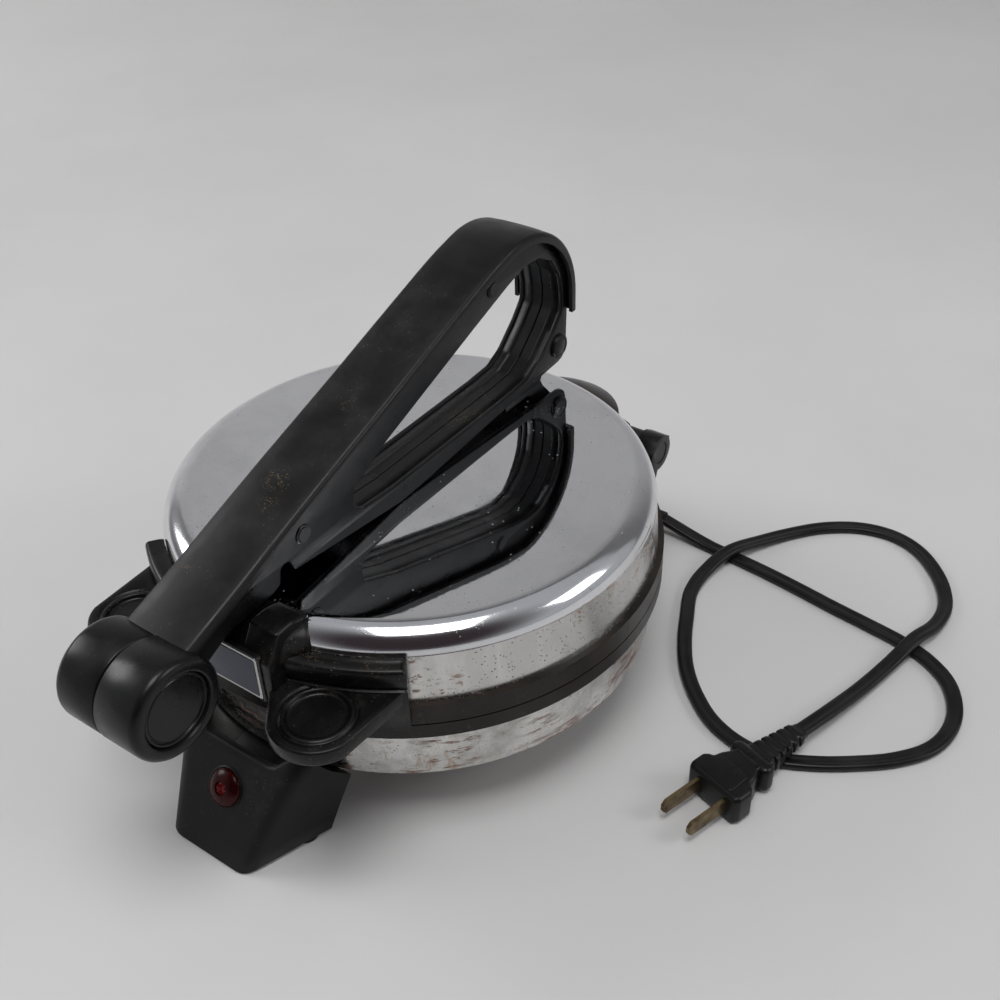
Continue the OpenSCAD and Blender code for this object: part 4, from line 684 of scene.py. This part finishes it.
def build_bracket():
    """Front bracket: stepped wall, middle block with a slot, and two thumb rests with ringed recesses."""
    parts = []
    wall = [(96.1, 57.2), (98.6, 57.2), (99.2, 57.8), (99.2, 75.4), (98.3, 76.0), (98.3, 77.0), (99.2, 77.5),
            (99.5, 78.2), (99.5, 82.9), (99.1, 83.9), (98.2, 84.5), (94.2, 84.5), (92.6, 84.1), (93.9, 65.1),
            (96.1, 65.1), (96.1, 57.2)]
    parts.append(lathe("wall", wall, "bracket", 72, start=-90 - WALL_END, end=-90 + WALL_END, sharp=45))
    # Thumb rest: teardrop outline round the ringed recess
    outline = circle(EAR_AT, 16.5, range(-130, -19, 5))
    outline += [(58.8, -79.3), (56.0, -80.2), (46.0, -86.0), (34.0, -91.5), (22.0, -95.0), (22.0, -102.5)]
    hole = circle(EAR_AT, 12.9, range(0, 360, 6))
    dish = [(0, 73.8), (8.6, 73.8), (9.3, 73.8), (9.9, 74.0), (10.2, 74.5), (10.45, 75.1), (10.9, 75.35),
            (11.6, 75.3), (12.1, 75.0), (12.4, 74.6), (12.8, 74.5), (13.1, 74.7), (13.1, 69.2), (0, 69.2)]
    for s in (-1, 1):
        # The wall's own profile, turned past its end and shrunk, rounds the end off
        cap = []
        for past, k in ((-0.2, 1.0), (0.0, 1.0), (0.35, 0.985), (0.6, 0.955), (0.75, 0.92)):
            a = math.radians(-90 + s * (WALL_END + past))
            ring = [(96.3 + (r - 96.3) * k, 71 + (z - 71) * k) for r, z in wall[:-1]]
            cap.append([(r * math.cos(a), r * math.sin(a), z) for r, z in ring])
        parts.append(rings("wall_end", cap, "bracket", sharp=50))
        parts.append(plate("ear", [outline, hole], 69.0, 75.0, 0.9, "bracket",
                           lambda u, v, w, s=s: (s * u, v, w), sharp=45))
        at_ear = Matrix.Translation((s * EAR_AT[0], EAR_AT[1], 0))
        parts.append(lathe("dish", dish, "bracket", 72, frame_of=at_ear, sharp=50))
        # Fillet that runs from the block's side down to the wall's top
        rows = []
        for y, reach, rise in ((-81.9, 0.0, 0.0), (-83.2, 2.0, 0.3), (-84.4, 4.2, 0.2), (-86.8, 5.2, 0.0),
                               (-89.0, 4.9, 0.0), (-91.5, 3.8, 0.0), (-94.0, 2.2, -0.2), (-96.5, 0.9, -0.6),
                               (-98.5, 0.3, -1.5)):
            front = [(19.0, 90.0), (19.0, 92.9 + rise), (20.5, 92.8 + rise), (22.4 + 0.15 * reach, 92.3 + rise),
                     (23.0 + 0.45 * reach, 91.0), (23.2 + 0.75 * reach, 88.6), (23.3 + reach, 85.6),
                     (23.3 + reach, 81.0), (19.0, 81.0)]
            rows.append([(s * x, y, z) for x, z in front])
        parts.append(rings("block_fillet", rows, "bracket", sharp=75))
    # Middle block: cheeks beside the slot, floor of the slot, sides that run down to the thumb rests
    side = rounded([(-102.5, 68.2), (-102.5, 86.0), (-98.4, 92.6), (-97.0, 95.4), (-93.5, 95.8), (-89.7, 95.8),
                    (-84.6, 94.5), (-82.0, 92.6), (-84.5, 92.5), (-92.6, 87), (-93.4, 84.4), (-94.2, 68.2)],
                   [1, 3, 2, 1.5, 2, 5, 3, 0.4, 0, 0, 0, 0.5], 5)
    middle = rounded([(-102.3, 68.2), (-102.3, 85.9), (-98.6, 91.9), (-96.5, 93.9), (-84.8, 93.7), (-84.2, 92.7),
                      (-92.6, 87), (-93.4, 84.4), (-94.2, 68.2)], [1, 3, 2, 1.5, 0.4, 0, 0, 0, 0.5], 4)
    for s in (-1, 1):
        parts.append(plate("cheek", [side], 11.5, 24.0, 1.2, "bracket", lambda u, v, w, s=s: (s * w, u, v), sharp=45))
    parts.append(plate("slot_floor", [middle], -12.5, 12.5, 0.5, "bracket", lambda u, v, w: (w, u, v), sharp=45))
    # Frame round the name plate
    rim = rounded([(-20.3, 68.4), (20.3, 68.4), (20.3, 88.2), (-20.3, 88.2)], 1.2, 4)
    well = rounded([(-19.2, 69.0), (19.2, 69.0), (19.2, 87.4), (-19.2, 87.4)], 0.8, 4)
    parts.append(plate("name_frame", [rim, well], -103.1, -101.4, 0.3, "bracket", lambda u, v, w: (u, w, v), sharp=45))
    settle(join("front_bracket_moulding", parts), "lid", "front_bracket", slot="black_plastic")
    blank = plate("name_plate_blank", [rounded([(-17.9, 70.3), (17.9, 70.3), (17.9, 86.1), (-17.9, 86.1)], 0.8, 4)],
                  -103.4, -102.6, 0.12, "badge", lambda u, v, w: (u, w, v))
    edge = plate("name_plate_rim", [rounded([(-19, 69.2), (19, 69.2), (19, 87.2), (-19, 87.2)], 1.0, 4)],
                 -103.2, -102.55, 0.2, "badge_edge", lambda u, v, w: (u, w, v))
    settle(join("name_plate_face", [edge, blank]), "lid", "name_plate", slot="name_plate")


# ---------------------------------------------------------------- base

def foot_path(z, inset):
    """Plan of the front foot's shell at a height: wing, round corner, leaning face, round corner, wing."""
    # Where the front plate meets the wing's line, and a point further back on that line
    front_x, front_y = 18.2 + 0.23 * z - inset * 1.07, -126.1 + 0.64 * z + inset * 1.19
    rear_x, rear_y = 33.4 + 0.1 * z - inset * 1.07, -83.8 + inset
    # The wing's rear edge leans back, slopes forward below the pan's edge, and goes up in front of the pan
    if z < 26.3:
        end_y = -94 + 0.34 * z
    elif z < 32:
        end_y = -85.06 - (z - 26.3) * 1.13
    else:
        end_y = -91.5 - max(z - 36, 0) * 1.6
    end_x = front_x + (rear_x - front_x) * (end_y - front_y) / (rear_y - front_y)
    corner, wing = Vector((front_x, front_y)), Vector((end_x, end_y))
    along = (wing - corner).normalized()
    r = max(5.2 - 0.8 * inset, 2.5)
    a, b = corner + Vector((-r, 0)), corner + along * r
    half = [a.lerp(Vector((0, front_y)), 1 - k / 7) for k in range(7)]
    half += [a * (1 - t) ** 2 + corner * 2 * t * (1 - t) + b * t * t for t in [k / 8 for k in range(9)]]
    half += [b.lerp(wing, k / 6) for k in range(1, 7)]
    left = [Vector((-q.x, q.y)) for q in reversed(half[1:])]
    return left + half


def share(value, start, length):
    """How far value is along a stretch, from 0 to 1."""
    return min(max((value - start) / length, 0), 1)


def build_front_foot():
    """Open foot: a leaning front plate with two wings, an arm, a dark plate under the pan that stands in for the shade
    there (painted shade), and the lens.
    """
    parts = []
    bm = bmesh.new()
    rows = []
    for k, mark in enumerate(foot_path(36, 0)):
        # The top rises from the plate's middle to the wings, and the lower edge towards the wings' ends
        t = share(abs(mark.x), 16.6, 6.2)
        top, low = 34.5 + 5.5 * t * t * (3 - 2 * t), 0.3 + 1.2 * share(abs(mark.x), 26, 9)
        heights = [low + 0.7, 8, 14, 20, 26.3, 28, 30, 32, top - 0.8]
        outside = [(0, h) for h in heights] + [(0.25, top - 0.25), (0.8, top)]
        inside = [(2.5, h) for h in heights] + [(2.25, top - 0.25), (1.7, top)]
        outside, inside = [(0.8, low), (0.25, low + 0.2)] + outside, [(1.7, low), (2.25, low + 0.2)] + inside
        row = []
        for d, z in outside + list(reversed(inside)):
            p, q = foot_path(z, 0)[k], foot_path(z, 2.5)[k]
            row.append(bm.verts.new((*(p + (q - p) * d / 2.5), z)))
        rows.append(row)
    n = len(rows[0])
    for a, b in zip(rows, rows[1:]):
        for k in range(n):
            bm.faces.new((a[k], a[(k + 1) % n], b[(k + 1) % n], b[k]))
    for row in (rows[0], rows[-1]):
        for k in range(n // 2 - 1):
            bm.faces.new((row[k], row[k + 1], row[n - 2 - k], row[n - 1 - k]))
    parts.append(finish_mesh("foot_shell", bm, "foot", sharp=45))
    arm = [(-116.9, 12), (-107.8, 26.2), (-66, 26.2), (-66, 19), (-83.8, 12)]
    parts.append(plate("foot_arm", [rounded(arm, [0.5, 0.5, 1.5, 1.5, 4], 4)], -10, 10, 0.7, "foot",
                       lambda u, v, w: (w, u, v), sharp=45))
    # A dark plate under the pan: painted shade, standing in for the shadowed floor seen behind the front plate
    shade_deck = [(-22.5, -103.5), (22.5, -103.5), (31, -85), (-31, -85)]
    parts.append(plate("foot_shade_plate", [shade_deck], 24.4, 26.1, 0.4, "foot", lambda u, v, w: (u, v, w), sharp=45))
    for x, y in ((13.2, -114.1), (22.4, -99.0)):
        for s in (-1, 1):
            seat = [(0, 5.0), (4.6, 5.0), (5.1, 4.5), (5.1, 1.7), (4.9, 1.5), (0, 1.5)]
            parts.append(lathe("pad_seat", seat, "foot", 40, frame_of=Matrix.Translation((s * x, y, 0)), sharp=45))
    # The lens stands square to the leaning front plate
    turn = Matrix.Translation((0, -111.83, 22.3)) @ Matrix.Rotation(math.radians(57.4), 4, "X")
    seat = [(6.9, -0.4), (6.9, 0.35), (7.3, 0.45), (7.7, 0.25), (7.9, -0.4), (6.9, -0.4)]
    parts.append(lathe("lens_seat", seat, "foot", 72, frame_of=turn))
    settle(join("front_foot_moulding", parts), "base", "front_foot", slot="black_plastic")
    lens = [(0, 2.25), (2.3, 2.2), (2.6, 2.9), (3.6, 2.8), (4.9, 2.3), (6.1, 1.6), (6.75, 0.9), (6.95, 0.25),
            (6.95, -0.3), (5.5, -0.4), (5.5, -5.5), (0, -5.5)]
    dome = lathe("lens_dome", lens, "lens", 72, frame_of=turn, sharp=50)
    petals = []
    hub = (0, 0, 2.3)
    root = circle((0, 0), 2.5, [45 * i for i in range(9)])
    tips = circle((0, 0), 1.6, [45 * i + 22.5 for i in range(8)])
    for first, last, tip in zip(root, root[1:], tips):
        first, last, tip = (*first, 2.35), (*last, 2.35), (*tip, 2.75)
        petals += [[hub, first, tip], [hub, tip, last], [first, last, tip]]
    bm = bmesh.new()
    for tri in petals:
        bm.faces.new([bm.verts.new(turn @ Vector(p)) for p in tri])
    # The star takes the brighter red of the facets, a painted highlight
    star = finish_mesh("lens_star", bm, "facets", sharp=10)
    settle(join("indicator_lens_dome", [dome, star]), "base", "indicator_lens", slot="red_lens")


# ---------------------------------------------------------------- cord and plug

CORD = [(44, 124, 6.5), (66, 123.2, 2.2), (80, 122.2, 1.8), (96, 120.6, 1.8), (112, 118.4, 1.8),
        (130, 115.4, 1.8), (147, 113, 1.8), (163, 110.4, 1.8), (176, 106, 1.8), (187, 98, 1.8), (194, 86, 1.8),
        (196, 73, 1.8), (193, 60, 1.8), (184, 48, 1.8), (172, 38, 1.8), (160, 30, 1.8), (147, 24, 1.8),
        (133, 23.4, 1.8), (119, 28, 1.8), (107, 37, 1.8), (97, 48, 1.8), (89, 61, 1.8), (82, 76, 1.8),
        (76, 91, 1.9), (75.5, 106, 3.2), (79.5, 121.5, 5.6), (87, 138, 3.4), (96, 153, 1.9), (107, 165, 1.8),
        (121, 173.5, 1.8), (136, 175.5, 1.8), (150, 170, 1.8), (163, 157, 1.8), (170.5, 142, 1.9),
        (171.5, 126, 3.4), (168, 111, 5.6), (164.5, 95, 3.6), (160.5, 76, 3.6), (156.3, 58, 5.2),
        (150.634, 37.303, 6.8)]
PLUG_AT, PLUG_TURN, PLUG_Z = (136.6, -8.6), 73.0, 6.8


def cord_section():
    """Flat twin cord: two round lobes with a shallow groove between them."""
    out = []
    for k in range(28):
        a = 2 * math.pi * k / 28
        c, h = math.cos(a), math.sin(a)
        lobe = max(0.0, abs(c) - 0.12)
        full = (1 - (1 - abs(h)) ** 1.6) * (0.62 + 0.38 * min(1, lobe * 3.2))
        tall = (0.55 + 1.0 * min(1.0, full)) * min(1, abs(h) * 2.2)
        out.append(((0.12 if c >= 0 else -0.12) + 3.0 * c, tall if h >= 0 else -tall))
    return out


def build_cord():
    path = smooth_path(CORD, 5)
    section = cord_section()
    stations = []
    for i, p in enumerate(path):
        t = (path[min(i + 1, len(path) - 1)] - path[max(i - 1, 0)]).normalized()
        if i == 0:
            t = Vector((1, 0, 0))
        s = Vector((0, 0, 1)).cross(t).normalized()
        u = t.cross(s)
        stations.append([p + s * x + u * y for x, y in section])
    cord = rings("mains_cord", stations, "cord", sharp=60)
    length = sum((b - a).length for a, b in zip(path, path[1:])) / 1000
    return cord, length, [to_m(p) for p in path]


def build_plug():
    c, s = math.cos(math.radians(PLUG_TURN)), math.sin(math.radians(PLUG_TURN))

    def at(u, v, w):
        return (PLUG_AT[0] + c * u - s * v, PLUG_AT[1] + s * u + c * v, PLUG_Z + w)

    def oblong(u, hw, hh, r):
        """A rounded rectangle across the plug, at u behind its face."""
        return [at(u, x, z) for x, z in rounded([(-hw, -hh), (hw, -hh), (hw, hh), (-hw, hh)], r, 5)]

    outline = [(0.2, -8.6), (0.2, -11.0), (2.5, -12.2), (8.2, -12.2), (10.2, -10.6), (10.6, -9.2), (14.0, -8.4),
               (17.4, -6.6), (20, -6.2)]
    outline = outline + [(u, -v) for u, v in reversed(outline)]
    outline = rounded(outline, [1.5, 1.6, 1.6, 1.6, 1.6, 1.5, 3, 3, 0.3] * 2, 4)
    parts = [plate("block", [outline], -6.5, 6.5, 1.9, "plug", at, res=4, sharp=60)]
    # Raised panel on both faces, left bare
    panel = rounded([(2.2, -7.4), (12.4, -6.4), (12.4, 6.4), (2.2, 7.4)], 1.6, 4)
    parts.append(plate("panel", [panel], -6.75, 6.75, 0.35, "plug", at, sharp=60))
    collar = [oblong(u, hw, hh, 2.4) for u, hw, hh in (
        (17.8, 5.6, 4.2), (18.6, 7.6, 5.0), (19.2, 8.9, 5.5), (20.4, 9.3, 5.8), (22.4, 9.3, 5.8), (23.4, 8.9, 5.5),
        (24.2, 8.0, 4.9), (25.0, 6.2, 3.9))]
    parts.append(rings("collar", collar, "plug", sharp=60))
    # Ribbed neck that tapers to the cord
    neck = []
    length, start, ribs = 24.0, 24.6, 6
    steps = ribs * 8
    for i in range(steps + 1):
        t = i / steps
        phase = (t * ribs) % 1.0
        lift = 1.0 if 0.12 < phase < 0.62 else 0.0
        if phase <= 0.12:
            lift = phase / 0.12
        elif 0.62 <= phase < 0.74:
            lift = 1 - (phase - 0.62) / 0.12
        hw = (5.6 - 1.9 * t) + 0.9 * lift * (1 - 0.35 * t)
        hh = (3.4 - 1.2 * t) + 0.55 * lift * (1 - 0.35 * t)
        if i == steps:
            hw, hh = 3.5, 1.9
        neck.append(oblong(start + (length - 1.6) * t, hw, hh, min(hh * 0.9, 2.2)))
    neck.append(oblong(start + length - 0.2, 3.4, 1.8, 1.7))
    parts.append(rings("neck", neck, "plug", sharp=50))
    return settle(join("plug_moulding", parts), "base", "plug_body", slot="soft_black")


build_cover()
build_lever_halves()
build_pivot_pin()
build_lid()
build_bracket()
build_front_foot()
soft_copy("rear_foot", "rear_foot_moulding", "plastic", 1.0)
soft_copy("rear_bracket", "rear_bracket_moulding", "plastic", 0.8)
soft_copy("wiring_cover", "wiring_cover_moulding", "brown", 1.2)
soft_copy("lever_lug", "lever_lug_moulding", "plastic", 0.5)
plug = build_plug()
cord, cord_length, cord_path = build_cord()
settle(cord, "base", "power_cord", slot="soft_black")

# ---------------------------------------------------------------- floor, light, camera


def build_stage():
    """A pale floor that sweeps up behind the cooker."""
    m = Nodes("pale_floor")
    cloud = m.noise(3.0, 4, 0.6)
    base = m.mix(m.ramp(cloud, 0.3, 0.7), (0.60, 0.595, 0.592), (0.64, 0.637, 0.634))
    m.set(Base_Color=base, Roughness=0.62)
    bm = bmesh.new()
    rows = []
    for x in (-4000.0, 4000.0):
        sweep = circle((900, 500), 500, [6 * k - 90 for k in range(1, 16)])
        prof = [(-3000.0, -0.05), (900.0, -0.05)] + sweep + [(1400.0, 3000.0)]
        rows.append([bm.verts.new((x, y, z)) for y, z in prof])
    for k in range(len(rows[0]) - 1):
        bm.faces.new((rows[0][k], rows[1][k], rows[1][k + 1], rows[0][k + 1]))
    floor = finish_mesh("floor", bm, "zinc")
    floor.data.materials[0] = m.mat
    floor.rotation_euler = (0, 0, math.radians(36))


def area(name, pos, target, size, power):
    light = bpy.data.lights.new(name, "AREA")
    light.shape = "RECTANGLE"
    light.size = light.size_y = size
    light.energy = power
    obj = bpy.data.objects.new(name, light)
    bpy.context.collection.objects.link(obj)
    obj.location = pos
    obj.rotation_euler = (Vector(target) - Vector(pos)).to_track_quat("-Z", "Y").to_euler()


def build_light():
    """Soft lamps above and at both sides; the room is darker towards the front right, as behind a photographer."""
    area("top", (0.34, -0.35, 1.9), (0.05, 0, 0), 0.85, 17)
    area("left", (-1.6, -0.4, 1.0), (0, 0, 0.05), 0.8, 12)
    area("right", (1.5, 0.7, 1.1), (0, 0, 0.05), 0.7, 7)
    world = bpy.data.worlds.new("soft_room")
    bpy.context.scene.world = world
    world.use_nodes = True
    t = world.node_tree
    bg = t.nodes["Background"]
    where = t.nodes.new("ShaderNodeTexCoord")
    dot = t.nodes.new("ShaderNodeVectorMath")
    dot.operation = "DOT_PRODUCT"
    dot.inputs[1].default_value = (0.50, -0.68, 0.54)
    fade = t.nodes.new("ShaderNodeMapRange")
    fade.interpolation_type = "SMOOTHSTEP"
    for k, v in ((1, 0.5), (2, 0.92), (3, 0.0), (4, 1.0)):
        fade.inputs[k].default_value = v
    tint = t.nodes.new("ShaderNodeMix")
    tint.data_type = "RGBA"
    tint.inputs[6].default_value = (0.62, 0.63, 0.65, 1)
    tint.inputs[7].default_value = (0.06, 0.045, 0.05, 1)
    t.links.new(where.outputs["Generated"], dot.inputs[0])
    t.links.new(dot.outputs["Value"], fade.inputs[0])
    t.links.new(fade.outputs[0], tint.inputs[0])
    t.links.new(tint.outputs[2], bg.inputs["Color"])
    bg.inputs["Strength"].default_value = 0.64


def build_camera():
    """The photographer's place, as fitted to the photograph."""
    az, el, roll = math.radians(36.36), math.radians(36.93), math.radians(-1.95)
    back = Vector((math.sin(az) * math.cos(el), -math.cos(az) * math.cos(el), math.sin(el)))
    right = (-back).cross(Vector((0, 0, 1))).normalized()
    up = right.cross(-back)
    r2 = right * math.cos(roll) + up * math.sin(roll)
    u2 = -right * math.sin(roll) + up * math.cos(roll)
    target = right * 33.17 + up * 19.58 + Vector((0, 0, 51.82))
    pos = Vector(to_m(target + back * 489.75))
    cam = bpy.data.cameras.new("camera")
    cam.sensor_width = 36
    cam.lens = 44.75
    cam.clip_start = 0.01
    obj = bpy.data.objects.new("camera", cam)
    bpy.context.collection.objects.link(obj)
    m = Matrix((r2, u2, back)).transposed().to_4x4()
    m.translation = pos
    obj.matrix_world = m
    bpy.context.scene.camera = obj


build_stage()
build_light()
build_camera()
bpy.context.scene.view_settings.view_transform = "Standard"
